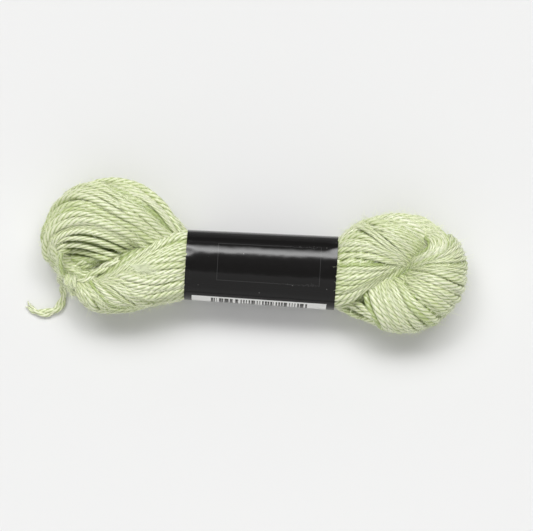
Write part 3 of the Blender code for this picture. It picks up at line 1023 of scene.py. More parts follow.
@dataclass
class Fan:
    """A family of strands that follow guide courses over one ply.

    Attributes:
        ply: what they lie on.
        guides: the courses, side by side (mm).
        travel: the part of the ply that the guides are looked for on.
        turn: the least and the most turn they are looked for at (degrees).
        enter: travel at which strands that come out of the band start, or None.
        drift: how much a strand turns round the ply on its way from the band, degrees a travel.
        head: how far each course goes on before its start (mm).
        tail: how far each course goes on after its end (mm).
        dive: how deep both ends go below the surface (mm).
        ramp: the length over which they dive (mm).
        depth: how deep the whole family lies (mm).
        uneven: how far strands stray from even spacing, as a share of it.
        fullness: whether the strands fill the widest part (1) or the mean width (0).
        local: how far the spacing is evened out at each place along the courses, 0 to 1.
        spread: how much wider than usual the spacing is.
        stray: the share of strands that wander over their neighbours.
        over: what the strands climb over where it is higher than their own ply.
        marks: places along the courses where the width is measured.
    """

    # How finely a course and the room between two guides are read.
    FINE = (200, 30)
    # How far strands wander, usually and now and then, in strands.
    WANDER = 0.10
    WANDER_FAR = (0.6, 1.4)
    # At which shares of the spacing strands thin out and sink.
    THIN_AT, SINK_AT = 0.9, 0.75
    # How far crowded strands sink, in diameters, and in which turns.
    CROWD_SINK = 1.5
    CROWD_DEPTHS = (0.0, 0.8, 0.35, 1.0, 0.2, 0.6)

    ply: Ply
    guides: Sequence
    travel: Pair
    turn: Pair = (-30.0, 210.0)
    enter: float | None = None
    drift: float = 0.0
    head: float = 3.0
    tail: float = 3.0
    dive: float = 1.6
    ramp: float = 3.5
    depth: float = 0.0
    uneven: float = 0.18
    fullness: float = 0.6
    local: float = 0.3
    spread: float = 1.0
    stray: float = 0.1
    tone: float = 0.5
    over: Heights | None = None
    samples: int = 60
    marks: int = 13

    def grown(self, places: Rows, length: float, at_end: bool) -> Rows:
        """Carries a course on in its own direction.

        Args:
            places: its rows of travel and turn.
            length: how far it goes on (mm).
            at_end: whether it goes on at its end or at its start.

        Returns:
            The longer course.
        """
        rows = places if at_end else places[::-1]
        last, before = rows[-1], rows[-2]
        step = float(np.linalg.norm(np.diff(self.ply.at(*rows[-2:].T), axis=0)))
        direction = (last - before) / max(step, 0.3)
        more = [last + direction * length * share for share in (0.5, 1.0)]
        rows = np.vstack([rows, more])
        return rows if at_end else rows[::-1]

    def courses(self) -> Rows:
        """Each guide as rows of travel and turn, carried on at both ends, evenly read."""
        read = []
        for guide in self.guides:
            places = self.ply.locate(guide, self.travel, self.turn)
            if self.enter is not None:
                first = places[0]
                turned = first[1] + self.drift * max(first[0] - self.enter - 0.07, 0.0)
                places = np.vstack([[self.enter, turned], places])
            elif self.head:
                places = self.grown(places, self.head, at_end=False)
            if self.tail:
                places = self.grown(places, self.tail, at_end=True)
            read.append(self.evenly(places))
        return np.array(read)

    def evenly(self, places: Rows) -> Rows:
        """Reads a course at evenly spaced lengths, a little smoothed."""
        fine = smooth_through(places, self.FINE[0])
        along = lengths_along(self.ply.at(*fine.T))
        return smoothed(even_rows(fine, along, self.samples), 7)

    def shares(self, spread: Rows) -> tuple[list[Rows], float]:
        """Measures the family's width at each mark.

        Args:
            spread: the courses with many more between them.

        Returns:
            For each mark how far across each of them lies, 0 to 1, and the width to fill (mm).
        """
        shares, reach = [], []
        for mark in np.linspace(0, self.samples - 1, self.marks).astype(int):
            widths = lengths_along(self.ply.at(*spread[:, mark].T))
            reach.append(widths[-1])
            shares.append(widths / widths[-1])
        even, reach = np.mean(shares[1:-1], axis=0), reach[1:-1]
        for _ in range(3):
            padded = [shares[0], *shares, shares[-1]]
            shares = [
                0.25 * low + 0.5 * mid + 0.25 * high
                for low, mid, high in zip(padded, padded[1:], padded[2:])
            ]
        shares = [self.local * share + (1.0 - self.local) * even for share in shares]
        return shares, self.fullness * max(reach) + (1.0 - self.fullness) * float(np.mean(reach))

    def choose(self, rng: np.random.Generator, spacing: float) -> list[Rows]:
        """Chooses a course for every strand, between the guides.

        Args:
            rng: its randomness.
            spacing: how far apart strands usually lie (mm).

        Returns:
            Rows of travel and turn for each strand.
        """
        courses = self.courses()
        last = len(courses) - 1
        fine = np.linspace(0, last, self.FINE[1] * last + 1)
        shares, wide = self.shares(smooth_at(courses, fine))
        count = max(2, int(round(wide / (spacing * self.spread))))
        order = (np.arange(count + 1) + self.uneven * rng.normal(size=count + 1)) / count
        order = np.clip(order + 0.35 / count * soft_noise(rng, count + 1, count / 4.0), 0.0, 1.0)
        share, each = np.linspace(0.0, 1.0, self.samples), np.arange(self.samples)
        chosen = []
        for wanted in order:
            places = [np.interp(wanted, row, fine) for row in shares]
            place = smooth_at(places, share * (self.marks - 1))
            wander = self.WANDER * soft_noise(rng, self.samples, 3.0)
            if rng.random() < self.stray:
                far = rng.choice((-1.0, 1.0)) * rng.uniform(*self.WANDER_FAR)
                wander += far * smooth_step(0.2, 0.8, share)
            chosen.append(smooth_at(courses, np.clip(place + wander * last / count, 0, last))[each, each])
        return chosen

    def lay(self, bundle: Bundle) -> None:
        """Lays the strands of the family into a bundle.

        Args:
            bundle: takes the strands.
        """
        rng, thread = bundle.rng, bundle.thread
        chosen = self.choose(rng, thread.spacing)
        points = [self.ply.at(*rows.T, thread.radius) for rows in chosen]
        for index, rows in enumerate(chosen):
            beside = points[max(index - 1, 0) : index] + points[index + 1 : index + 2]
            gaps = [np.linalg.norm(points[index][:, None] - other, axis=2).min(axis=1) for other in beside]
            thin = np.mean(gaps, axis=0) / (self.THIN_AT * thread.spacing)
            thin = smoothed(np.clip(thin, thread.least, thread.most), 5)
            crowd = np.clip(1.0 - np.min(gaps, axis=0) / (self.SINK_AT * thread.spacing * thin), 0.0, 1.0)
            sink = self.depth + dive_of(points[index], self.dive, self.ramp)
            below = self.CROWD_DEPTHS[index % len(self.CROWD_DEPTHS)]
            inset = thread.radius + sink + self.CROWD_SINK * crowd * below * thread.diameter
            inset = inset + ROUGH * soft_noise(rng, self.samples, 4.0) + 0.35 * max(rng.normal() - 0.4, 0.0)
            path = self.ply.at(*rows.T, inset)
            if self.over is not None:
                path = self.over.climb(path, sink)
            bundle.lay_path(path, sizes=thin[::4], tone=self.tone)


class Heights:
    """The top of some plies as heights over a fine grid, for strands that lie across them."""

    CELL = 0.4
    # The least and the most of each, and how many.
    TRAVELS = (0.0, 1.0, 500)
    TURNS = (-20.0, 200.0, 360)

    def __init__(self, plies: Sequence[Ply], inset: float = 0.0, soft: int = 0) -> None:
        """Takes the highest point over each cell.

        Args:
            plies: whose tops they are.
            inset: how deep below the surfaces to take them (mm).
            soft: how often the heights are evened out with their neighbours.
        """
        grids = np.meshgrid(np.linspace(*self.TRAVELS), np.linspace(*self.TURNS))
        travel, turn = (grid.ravel() for grid in grids)
        points = np.concatenate([ply.at(travel, turn, inset) for ply in plies])
        self.low = points[:, :2].min(axis=0) - 2 * self.CELL
        size = np.ceil((points[:, :2].max(axis=0) - self.low) / self.CELL).astype(int) + 3
        self.top = np.zeros(size)
        cells = ((points[:, :2] - self.low) / self.CELL).astype(int)
        np.maximum.at(self.top, (cells[:, 0], cells[:, 1]), points[:, 2])
        for _ in range(soft):
            for axis in (0, 1):
                self.top = (np.roll(self.top, 1, axis) + self.top + np.roll(self.top, -1, axis)) / 3.0

    def at(self, points: Rows) -> Rows:
        """The height under each (x, y) point."""
        cells = ((points - self.low) / self.CELL).astype(int)
        return self.top[tuple(np.clip(cells, 0, np.array(self.top.shape) - 1).T)]

    def climb(self, path: Rows, sink: Rows) -> Rows:
        """Lifts a path where these heights stand above it.

        Args:
            path: the centre line (mm).
            sink: how deep each of its points is meant to lie (mm).

        Returns:
            The lifted centre line.
        """
        lift = np.maximum(self.at(path[:, :2]) - sink - path[:, 2], 0.0)
        out = path.copy()
        out[:, 2] += smoothed(lift, 6)
        return out


@dataclass
class Drape:
    """A family of strands that lie over several plies, along courses seen from above.

    Attributes:
        heights: the plies' tops.
        guides: the courses, side by side, as (x, y) points (mm).
        proud: how far the strands stand above the plies (mm).
    """

    FINE = 300
    WANDER = 0.08

    heights: Heights
    guides: Sequence
    proud: float = 0.15
    spread: float = 1.0
    dive: float = 2.4
    ramp: float = 4.0
    uneven: float = 0.12
    samples: int = 120

    def lay(self, bundle: Bundle, tone: float = 0.5, size: float = 1.0) -> None:
        """Lays the strands into a bundle.

        Args:
            bundle: takes the strands.
            tone: their middle tone, 0 deep to 1 pale.
            size: their thickness relative to the thread's.
        """
        guides = (smooth_through(guide, self.FINE) for guide in self.guides)
        courses = np.array([even_rows(guide, lengths_along(guide), self.samples) for guide in guides])
        inner = slice(self.samples // 5, -self.samples // 5)
        gaps = np.linalg.norm(np.diff(courses, axis=0), axis=2)[:, inner]
        widths = np.concatenate([[0.0], np.cumsum(gaps.mean(axis=1))])
        count = max(1, int(round(widths[-1] / (bundle.thread.spacing * self.spread))))
        order = (np.arange(count + 1) + self.uneven * bundle.rng.normal(size=count + 1)) / count
        places = np.interp(np.clip(order, 0, 1) * widths[-1], widths, np.arange(len(courses)))
        for flat in smooth_at(courses, places):
            bundle.lay_path(self.raised(bundle, flat), tone=tone, size=size)

    def raised(self, bundle: Bundle, flat: Rows) -> Rows:
        """Raises a flat course onto the plies.

        Args:
            bundle: the bundle it is for.
            flat: the course's (x, y) points (mm).

        Returns:
            The strand's centre line (mm).
        """
        rng, count = bundle.rng, len(flat)
        flat = flat + self.WANDER * np.column_stack([soft_noise(rng, count, 4.0) for _ in range(2)])
        height = self.heights.at(flat) - bundle.thread.radius + self.proud
        height = smoothed(height, 7) + ROUGH * soft_noise(rng, count, 4.0)
        path = np.column_stack([flat, height])
        path[:, 2] -= dive_of(path, self.dive, self.ramp)
        return path


@dataclass
class Lengthwise:
    """A family of strands that run along a ply, side by side round a part of its section.

    Attributes:
        travel: from where to where along it.
        turn: from which turn to which round it (degrees).
        twist: how far they turn round it on their way (degrees).
        usual: the half width of a ply on which their wander is measured (mm).
    """

    ply: Ply
    travel: Pair
    turn: Pair
    twist: float = 0.0
    dive: float = 1.4
    ramp: float = 4.0
    depth: float = 0.0
    sides: int = 12
    coarse: float = 1.15
    tone: float = 0.5
    uneven: float = 0.15
    wander: float = 0.25
    samples: int = 90
    usual: float = 6.5

    def lay(self, bundle: Bundle) -> None:
        """Lays the strands into a bundle."""
        rng, thread = bundle.rng, bundle.thread
        share = np.linspace(0.0, 1.0, self.samples)
        travel = self.travel[0] + (self.travel[1] - self.travel[0]) * share
        across = np.linspace(*self.turn, 60)
        arc = lengths_along(self.ply.at(np.full(len(across), 0.5 * sum(self.travel)), across))
        count = max(2, int(round(arc[-1] / thread.spacing)))
        width = 360.0 * thread.spacing / (2 * math.pi * self.usual)
        for index in range(count + 1):
            turn = self.turn[0] + (self.turn[1] - self.turn[0]) * (index + self.uneven * rng.normal()) / count
            turns = turn + self.twist * share + self.wander * width * soft_noise(rng, self.samples, 4.0)
            flat = self.ply.at(travel, turns, thread.radius)
            inset = thread.radius + self.depth + dive_of(flat, self.dive, self.ramp)
            inset = inset + ROUGH * soft_noise(rng, self.samples, 5.0)
            path = self.ply.at(travel, turns, inset)
            bundle.lay_path(path, sides=self.sides, coarse=self.coarse, tone=self.tone)


class Layer(NamedTuple):
    """Where the layer under the outer strands runs: on a ply, from where to where, how deep (mm)."""

    ply: Ply
    travel: Pair
    depth: float


def base_floss(layers: Sequence[Layer], thread: Thread, seed: Seed) -> Bundle:
    """The layer under the outer strands: plain strands that run along each ply, all round it.

    Args:
        layers: where it runs.
        thread: what the strands are.
        seed: for its randomness.

    Returns:
        The layer's strands.
    """
    bundle = Bundle(thread, seed)
    # The low tone draws these strands dark: painted shade where they show between the outer strands.
    look = dict(turn=(0.0, 350.0), sides=8, coarse=1.9, tone=0.08)
    for ply, travel, depth in layers:
        Lengthwise(ply, travel, depth=depth, **look).lay(bundle)
    return bundle


class Nodes:
    """A short way to lay out a material's nodes."""

    def __init__(self, name: str = "", tree: bpy.types.NodeTree | None = None) -> None:
        """Starts a material with one Principled shader, or adds to a tree that is there."""
        self.tree = tree
        if tree is None:
            self.material = bpy.data.materials.new(name)
            self.material.use_nodes = True
            self.tree = self.material.node_tree
            self.shader = self.tree.nodes["Principled BSDF"]

    def add(self, kind: str, values: dict | None = None, **settings: object) -> bpy.types.Node:
        """Adds a node.

        Args:
            kind: its type.
            values: what goes into its inputs, by their names or numbers.
            settings: its properties.

        Returns:
            The node.
        """
        node = self.tree.nodes.new(kind)
        for key, value in settings.items():
            setattr(node, key, value)
        self.fill(node, values or {})
        return node

    def fill(self, node: bpy.types.Node, values: dict) -> None:
        """Feeds a node's inputs: links sockets, and sets numbers and colours as they are.

        Args:
            node: the node.
            values: what goes into its inputs, by their names or numbers.
        """
        for key, value in values.items():
            socket = node.inputs[key]
            if isinstance(value, Socket):
                self.tree.links.new(value, socket)
            elif isinstance(value, tuple):
                socket.default_value = (*value, 1.0)[: len(socket.default_value)]
            elif value is not None:
                socket.default_value = value

    def finished(self, **values: object) -> Material:
        """Fills the shader's inputs, named with underscores, and returns the material."""
        self.fill(self.shader, {key.replace("_", " "): value for key, value in values.items()})
        return self.material

    def math(self, operation: str, *values: object) -> Socket:
        """Adds a Math node and returns its output."""
        return self.add("ShaderNodeMath", dict(enumerate(values)), operation=operation).outputs[0]

    def product(self, *values: object) -> Socket:
        """Multiplies values one after another and returns the result."""
        return reduce(lambda done, value: self.math("MULTIPLY", done, value), values)

    def ramp(self, value: Socket, low: float, high: float) -> Socket:
        """Rises softly from 0 at low to 1 at high."""
        values = {"Value": value, "From Min": low, "From Max": high}
        return self.add("ShaderNodeMapRange", values, interpolation_type="SMOOTHSTEP").outputs["Result"]

    def mix(self, factor: object, first: object, second: object, blend: str = "MIX") -> Socket:
        """Mixes two colours and returns the result."""
        values = {0: factor, 6: first, 7: second}
        return self.add("ShaderNodeMix", values, data_type="RGBA", blend_type=blend).outputs[2]

    def noise(self, vector: Socket, scale: object, detail: float = 2.0, rough: float = 0.5) -> Socket:
        """Adds a Noise texture and returns its value."""
        values = {"Vector": vector, "Scale": scale, "Detail": detail, "Roughness": rough}
        return self.add("ShaderNodeTexNoise", values).outputs["Fac"]

    def bump(self, height: Socket, strength: float, distance: float) -> Socket:
        """Adds a bump of so much strength over a distance (m) and returns its normal."""
        values = {"Height": height, "Strength": strength, "Distance": distance}
        return self.add("ShaderNodeBump", values).outputs[0]

    def parts(self, vector: Socket) -> list[Socket]:
        """The three parts of a vector."""
        return list(self.add("ShaderNodeSeparateXYZ", {0: vector}).outputs)


class SilkTint:
    """The node group that all the silk shares: deep to pale by a strand's tone and soft clouds."""

    NAME = "silk_tint"
    VALUES = ("Scale", "Tone", "Tone Share")
    COLOURS = ("Deep", "Pale")

    @classmethod
    def group(cls) -> bpy.types.NodeTree:
        """The group, made the first time it is asked for.

        Returns:
            The node tree.
        """
        if cls.NAME in bpy.data.node_groups:
            return bpy.data.node_groups[cls.NAME]
        tree = bpy.data.node_groups.new(cls.NAME, "ShaderNodeTree")
        tree.interface.new_socket("Place", in_out="INPUT", socket_type="NodeSocketVector")
        for name in cls.VALUES:
            tree.interface.new_socket(name, in_out="INPUT", socket_type="NodeSocketFloat")
        for name in cls.COLOURS:
            tree.interface.new_socket(name, in_out="INPUT", socket_type="NodeSocketColor")
        tree.interface.new_socket("Colour", in_out="OUTPUT", socket_type="NodeSocketColor")
        nodes = Nodes(tree=tree)
        given = nodes.add("NodeGroupInput").outputs
        cloud = nodes.noise(given["Place"], given["Scale"])
        by_tone = nodes.product(given["Tone"], given["Tone Share"])
        by_cloud = nodes.product(cloud, nodes.math("SUBTRACT", 1.0, given["Tone Share"]))
        colour = nodes.mix(nodes.math("ADD", by_tone, by_cloud), given["Deep"], given["Pale"])
        nodes.add("NodeGroupOutput", {"Colour": colour})
        return tree

    @classmethod
    def place(
        cls,
        nodes: Nodes,
        scale: float,
        deep: Colour,
        pale: Colour,
        tone: Socket | None = None,
        tone_share: float = 0.0,
    ) -> Socket:
        """Puts the group into a material.

        Args:
            nodes: the material's nodes.
            scale: how fine the clouds are.
            deep: the colour of the deepest tone.
            pale: the colour of the palest tone.
            tone: a strand's own tone, where the piece has it.
            tone_share: how much that tone counts beside the clouds.

        Returns:
            The colour.
        """
        values = {"Scale": scale, "Tone Share": tone_share, "Deep": deep, "Pale": pale, "Tone": tone}
        values["Place"] = nodes.add("ShaderNodeTexCoord").outputs["Object"]
        return nodes.add("ShaderNodeGroup", values, node_tree=cls.group()).outputs["Colour"]


@dataclass(frozen=True)
class SilkFinish:
    """Spun silk: pale green, soft sheen, fibres along the twist, painted shade in grooves and on deep
    strands.

    Attributes:
        fibres: how fine the fibres are along a strand, round it and between strands.
    """

    name: str = "mint_silk"
    pale: Colour = (0.84, 0.85, 0.66)
    deep: Colour = (0.61, 0.68, 0.345)
    # The colour of painted shade, in the grooves between plies and on strands laid deep.
    groove: Colour = (0.25, 0.35, 0.06)
    cloud: float = 120.0
    tone_share: float = 0.65
    sunk_shade_tone: float = 0.3
    sunk_shade_share: float = 0.55
    groove_shade_share: float = 0.75
    fibres: tuple[float, ...] = (0.35, 26.0, 40.0)
    roughness: float = 0.27
    specular: float = 1.0
    stretch: float = 0.7
    sheen: float = 0.15
    sheen_tint: Colour = (0.93, 1.0, 0.84)
    glow_through: float = 0.15
    glow_reach: Colour = (0.9, 1.0, 0.6)
    glow_depth: float = 0.0007
    bump: float = 0.3
    plies: int = 4

    def material(self) -> Material:
        """Makes the material."""
        nodes = Nodes(self.name)
        along, around, _ = nodes.parts(nodes.add("ShaderNodeUVMap", uv_map="strand").outputs["UV"])
        tone = nodes.add("ShaderNodeAttribute", attribute_name="tone").outputs["Fac"]
        colour = SilkTint.place(nodes, self.cloud, self.deep, self.pale, tone, self.tone_share)
        # Painted shade: strands laid in a low tone, deep in creases and hollows, darken towards the groove
        # colour.
        sunk_shade = nodes.math("SUBTRACT", 1.0, nodes.ramp(tone, 0.0, self.sunk_shade_tone))
        colour = nodes.mix(nodes.product(sunk_shade, self.sunk_shade_share), colour, self.groove)
        # Painted shade: the grooves between the plies are darkened towards the groove colour.
        turn = nodes.product(around, 2 * math.pi * self.plies)
        lobe = nodes.math("MULTIPLY_ADD", nodes.math("COSINE", turn), 0.5, 0.5)
        groove_shade = nodes.math("POWER", nodes.math("SUBTRACT", 1.0, lobe), 3.0)
        colour = nodes.mix(nodes.product(groove_shade, self.groove_shade_share), colour, self.groove)
        spread = [nodes.product(*pair) for pair in zip((along, around, tone), self.fibres)]
        place = nodes.add("ShaderNodeCombineXYZ", dict(enumerate(spread))).outputs[0]
        fibre = nodes.noise(place, 1.0, 3.0, 0.6)
        streak = nodes.math("MULTIPLY_ADD", fibre, 0.5, 0.75)
        lie = nodes.add("ShaderNodeTangent", direction_type="UV_MAP", uv_map="strand")
        return nodes.finished(
            Base_Color=nodes.mix(0.5, colour, streak, "MULTIPLY"),
            Normal=nodes.bump(fibre, self.bump, 0.0001),
            Roughness=self.roughness,
            Specular_IOR_Level=self.specular,
            Anisotropic=self.stretch,
            Tangent=lie.outputs[0],
            Subsurface_Weight=self.glow_through,
            Subsurface_Radius=self.glow_reach,
            Subsurface_Scale=self.glow_depth,
            Sheen_Weight=self.sheen,
            Sheen_Roughness=0.4,
            Sheen_Tint=self.sheen_tint,
        )


@dataclass(frozen=True)
class TintedFinish:
    """Plain silk, clouded between two tones."""

    name: str
    deep: Colour
    pale: Colour
    cloud: float
    roughness: float = 0.5
    specular: float = 0.5

    def material(self) -> Material:
        """Makes the material."""
        nodes = Nodes(self.name)
        return nodes.finished(
            Base_Color=SilkTint.place(nodes, self.cloud, self.deep, self.pale),
            Roughness=self.roughness,
            Specular_IOR_Level=self.specular,
        )


# The floss deep inside the hank, drawn dark green as painted shade, and the loose single fibres.
CORE_SHADE_SILK = TintedFinish("inner_silk_shade", (0.25, 0.33, 0.07), (0.37, 0.49, 0.11), 900.0, 0.8, 0.1)
LOOSE_SILK = TintedFinish("loose_silk", (0.79, 0.84, 0.60), (0.93, 0.97, 0.74), 300.0)


class Sheet:
    """The band's sheet as it is mapped in a material, with masks for what is on it."""

    def __init__(self, nodes: Nodes) -> None:
        """Reads the map, and its length along the band and arc up from the front edge."""
        self.nodes = nodes
        self.place = nodes.add("ShaderNodeUVMap", uv_map="sheet").outputs["UV"]
        self.along, self.up, _ = nodes.parts(self.place)

    def inside(self, area: Printed, up: Socket | None = None) -> Socket:
        """Masks a printed rectangle.

        Args:
            area: the rectangle.
            up: another arc to measure it by, if not the sheet's own.

        Returns:
            1 inside it, 0 outside.
        """
        tests = []
        for value, ends in ((self.along, area.along), (up or self.up, area.up)):
            for test, end in zip(("GREATER_THAN", "LESS_THAN"), ends):
                tests.append(self.nodes.math(test, value, end))
        return self.nodes.product(*tests)


@dataclass(frozen=True)
class Printed:
    """A rectangle on the band's sheet: lengths along it and arcs up from its front edge (mm)."""

    along: Pair
    up: Pair

    def smaller(self, edge: float) -> Printed:
        """The same rectangle without an edge so wide."""
        return Printed(*((low + edge, high - edge) for low, high in (self.along, self.up)))


@dataclass(frozen=True)
class PaperFinish:
    """Glossy coated black paper with a narrow white printed strip at its front edge.

    Attributes:
        dull: the arcs between which a dull belt fades in and out (mm).
        rounding: the arcs between which the front's gloss rises to the top's (mm).
        belt: how much of the gloss that belt takes away.
    """

    name: str = "black_paper"
    black: Colour = (0.0075, 0.007, 0.0068)
    white: Colour = (0.80, 0.80, 0.78)
    ink: Colour = (0.035, 0.033, 0.03)
    worn: Colour = (0.30, 0.30, 0.28)
    line: Colour = (0.10, 0.10, 0.10)
    strip: Printed = Printed((2.0, 36.9), (-5.5, 4.6))
    bars: Printed = Printed((6.8, 32.2), (-4.6, 4.0))
    bar_step: float = 0.7
    sticker: Printed = Printed((8.2, 34.8), (9.9, 19.6))
    sticker_edge: float = 0.14
    dull: tuple[float, ...] = (19.2, 20.3, 23.2, 24.2)
    rounding: Pair = (11.0, 17.0)
    belt: float = 0.85
    roughness: float = 0.16
    specular: float = 0.42
    front_gloss: float = 0.6

    def material(self) -> Material:
        """Makes the material."""
        nodes = Nodes(self.name)
        sheet = Sheet(nodes)
        printed = nodes.mix(self.bar_ink(sheet), self.white, self.ink)
        colour = nodes.mix(self.wear(sheet), self.black, self.worn)
        colour = nodes.mix(nodes.product(self.sticker_line(sheet), 0.3), colour, self.line)
        first, full, fade, last = self.dull
        dull = nodes.math("SUBTRACT", nodes.ramp(sheet.up, first, full), nodes.ramp(sheet.up, fade, last))
        gloss = nodes.math("MULTIPLY_ADD", dull, -self.belt * self.specular, self.specular)
        rise = nodes.ramp(sheet.up, *self.rounding)
        front = nodes.math("MULTIPLY_ADD", rise, 1.0 - self.front_gloss, self.front_gloss)
        return nodes.finished(
            Base_Color=nodes.mix(sheet.inside(self.strip), colour, printed),
            Specular_IOR_Level=nodes.product(gloss, front),
            Roughness=self.roughness,
            Normal=nodes.bump(nodes.noise(sheet.place, 0.28, 1.0), 0.35, 0.0002),
        )

    def bar_ink(self, sheet: Sheet) -> Socket:
        """Plain upright bars of uneven width, as an ink mask."""
        nodes = sheet.nodes
        place = nodes.math("DIVIDE", sheet.along, self.bar_step)
        cell = nodes.math("FLOOR", place)
        random = nodes.add("ShaderNodeTexWhiteNoise", {"W": cell}, noise_dimensions="1D")
        width = nodes.math("MULTIPLY_ADD", random.outputs["Value"], 1.0, 0.12)
        bar = nodes.math("LESS_THAN", nodes.math("SUBTRACT", place, cell), width)
        return nodes.product(bar, sheet.inside(self.bars))

    def wear(self, sheet: Sheet) -> Socket:
        """Tiny pale specks and rubbed edges, as a mask."""
        nodes = sheet.nodes
        specks = nodes.add("ShaderNodeTexVoronoi", {"Vector": sheet.place, "Scale": 0.75})
        dots = nodes.math("LESS_THAN", specks.outputs["Distance"], 0.09)
        few = nodes.math("GREATER_THAN", nodes.noise(sheet.place, 0.9, 1.0), 0.60)
        near = nodes.math("SUBTRACT", 1.0, nodes.ramp(sheet.along, 0.3, 2.6))
        rub = nodes.math("GREATER_THAN", nodes.noise(sheet.place, 3.6, 3.0, 0.7), 0.66)
        return nodes.math("MAXIMUM", nodes.product(dots, few, 0.5), nodes.product(rub, near, 0.5))

    def sticker_line(self, sheet: Sheet) -> Socket:
        """The faint outline of a clear sticker, with one torn corner, as a mask."""
        nodes, area = sheet.nodes, self.sticker
        torn = nodes.math("MULTIPLY_ADD", nodes.noise(sheet.place, 0.8, 3.0, 0.7), 2.6, -1.3)
        torn = nodes.product(torn, nodes.ramp(sheet.along, area.along[0] + 12.0, area.along[1]))
        low = nodes.math("ADD", sheet.up, torn)
        inner = sheet.inside(area.smaller(self.sticker_edge), low)
        return nodes.math("SUBTRACT", sheet.inside(area, low), inner)


@dataclass(frozen=True)
class TableFinish:
    """The pale table the skein lies on."""

    name: str = "pale_table"
    colour: Colour = (0.79, 0.79, 0.787)

    def material(self) -> Material:
        """Makes the material."""
        nodes = Nodes(self.name)
        return nodes.finished(Base_Color=self.colour, Roughness=0.9, Specular_IOR_Level=0.1)


def dress(piece: Piece, finish: Material, slot: Slot, *replaced: str) -> Piece:
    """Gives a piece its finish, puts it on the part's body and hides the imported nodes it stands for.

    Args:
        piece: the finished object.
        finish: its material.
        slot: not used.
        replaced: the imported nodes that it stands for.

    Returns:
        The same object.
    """
    piece.data.materials.clear()
    piece.data.materials.append(finish)
    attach(piece, BODY)
    if replaced:
        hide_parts(*replaced)
    LOG.info("%s: %d faces", piece.name, len(getattr(piece.data, "polygons", ())))
    return piece


@dataclass
class Core:
    """The inside of the hank, which closes the gaps between strands and shows there as painted shade."""

    plies: Sequence[Ply]
    inset: float = 2.1
    voxel: float = 0.6
    rings: int = 91
    sides: int = 40
    radius: float = 0.7
    lowest: float = 0.8

    def build(self) -> Piece:
        """Joins the plies into one closed skin, a little inside the strands.

        Returns:
            The skin, with its place in its mesh.
        """
        travel = np.repeat(np.linspace(0, 1, self.rings), self.sides)
        turn = np.tile(np.degrees(turns_round(self.sides)), self.rings)
        points, faces = [], []
        for index, ply in enumerate(self.plies):
            points.append(BAND.squeeze(ply.at(travel, turn, self.inset), self.radius))
            for part in tube_faces(self.rings, self.sides):
                faces += (part + index * len(travel)).tolist()
        points = np.concatenate(points)
        points[:, 2] = np.maximum(points[:, 2], self.lowest)
        piece = Frame.piece("skein_shade_core", points, faces)
        skin = piece.modifiers.new("skin", "REMESH")
        skin.mode = "VOXEL"
        skin.voxel_size = self.voxel * MM
        skin.use_smooth_shade = True
        Shop.apply(piece)
        return piece


def ring_sections(rows: Sequence, centre: Pair) -> list[tuple[float, ...]]:
    """Turns sections given by their angle round a centre into plain ones.

    Args:
        rows: the sections.
        centre: the centre's (x, y) (mm).

    Returns:
        The plain sections.
    """
    plain = []
    for angle, radius, *rest in rows:
        turn = math.radians(angle)
        plain.append((centre[0] + radius * math.cos(turn), centre[1] + radius * math.sin(turn), *rest))
    return plain


def ply_of(sections: Sequence) -> Ply:
    """A field that makes its ply of these sections when a bulb is made."""
    return field(default_factory=lambda: Ply(sections))


@dataclass
class RightBulb:
    """The right rosette: the front ply swirls into the crease, the other fans out over the rim."""

    thread: Thread
    front: Ply = ply_of(RIGHT_FRONT)
    fan: Ply = ply_of(ring_sections(RIGHT_FAN, RIGHT_FAN_CENTRE))
    inner: Ply = ply_of(ring_sections(RIGHT_FAN_INNER, RIGHT_FAN_CENTRE))

    def layers(self) -> list[Layer]:
        """Where the layer under the outer strands runs."""
        return [
            Layer(self.front, (0.02, 0.98), 0.95),
            Layer(self.inner, (0.27, 0.85), 0.95),
            Layer(self.inner, (0.0, 0.32), 2.0),
        ]

    def front_floss(self) -> Bundle:
        """Strands that come out of the band and swirl into the crease."""
        bundle = Bundle(self.thread, Seed.RIGHT_FRONT)
        rise = Heights([self.fan], inset=3.6, soft=4)
        look = dict(travel=(0.02, 0.52), turn=(-10.0, 215.0), enter=0.035, drift=250.0, tail=8.0, over=rise)
        for guides, depth in ((FRONT_RIGHT[:6], 0.0), (FRONT_RIGHT[5:], -0.3)):
            Fan(self.front, guides, depth=depth, **look).lay(bundle)
        return bundle

    def under_floss(self) -> Bundle:
        """Strands that run round beneath the rim and home under the band."""
        bundle = Bundle(self.thread, Seed.RIGHT_UNDER)
        Lengthwise(self.front, (0.035, 0.99), (205.0, 355.0), twist=-20.0).lay(bundle)
        # The return ply shows only in the cavity; its low tone there is painted shade.
        Lengthwise(self.front, (0.34, 0.99), (95.0, 195.0), twist=-20.0, depth=0.8, tone=0.1).lay(bundle)
        return bundle

    def fan_floss(self) -> Bundle:
        """Strands that fan out of the rosette's middle and over its rim."""
        bundle = Bundle(self.thread, Seed.RIGHT_FAN)
        look = dict(turn=(-15.0, 215.0), head=6.0, tail=9.0, uneven=0.12, fullness=0.4, local=0.15)
        look["stray"] = 0.06
        Fan(self.fan, FAN_RIGHT[:12], (0.0, 1.0), **look).lay(bundle)
        Fan(self.fan, FAN_RIGHT[10:14], (0.0, 1.0), depth=-0.45, spread=1.15, tone=0.55, **look).lay(bundle)
        over = Heights([self.fan, self.front])
        Drape(over, TURN_OVER, spread=0.55).lay(bundle, tone=0.65, size=0.8)
        below = Heights([self.fan, Ply(RIGHT_FRONT[8:])])
        Drape(below, LOWER_RIGHT, proud=0.5, dive=1.6).lay(bundle)
        bridge = Heights([self.fan, self.front], soft=8)
        # The crease strands are laid in the lowest tones: painted shade.
        Drape(bridge, CREASE_RIGHT, proud=-1.3).lay(bundle, tone=0.05)
        Drape(bridge, CREASE_FLOOR, proud=-2.1).lay(bundle, tone=0.0)
        Drape(over, TURN_FLOOR, proud=-0.75).lay(bundle, tone=0.35)
        return bundle


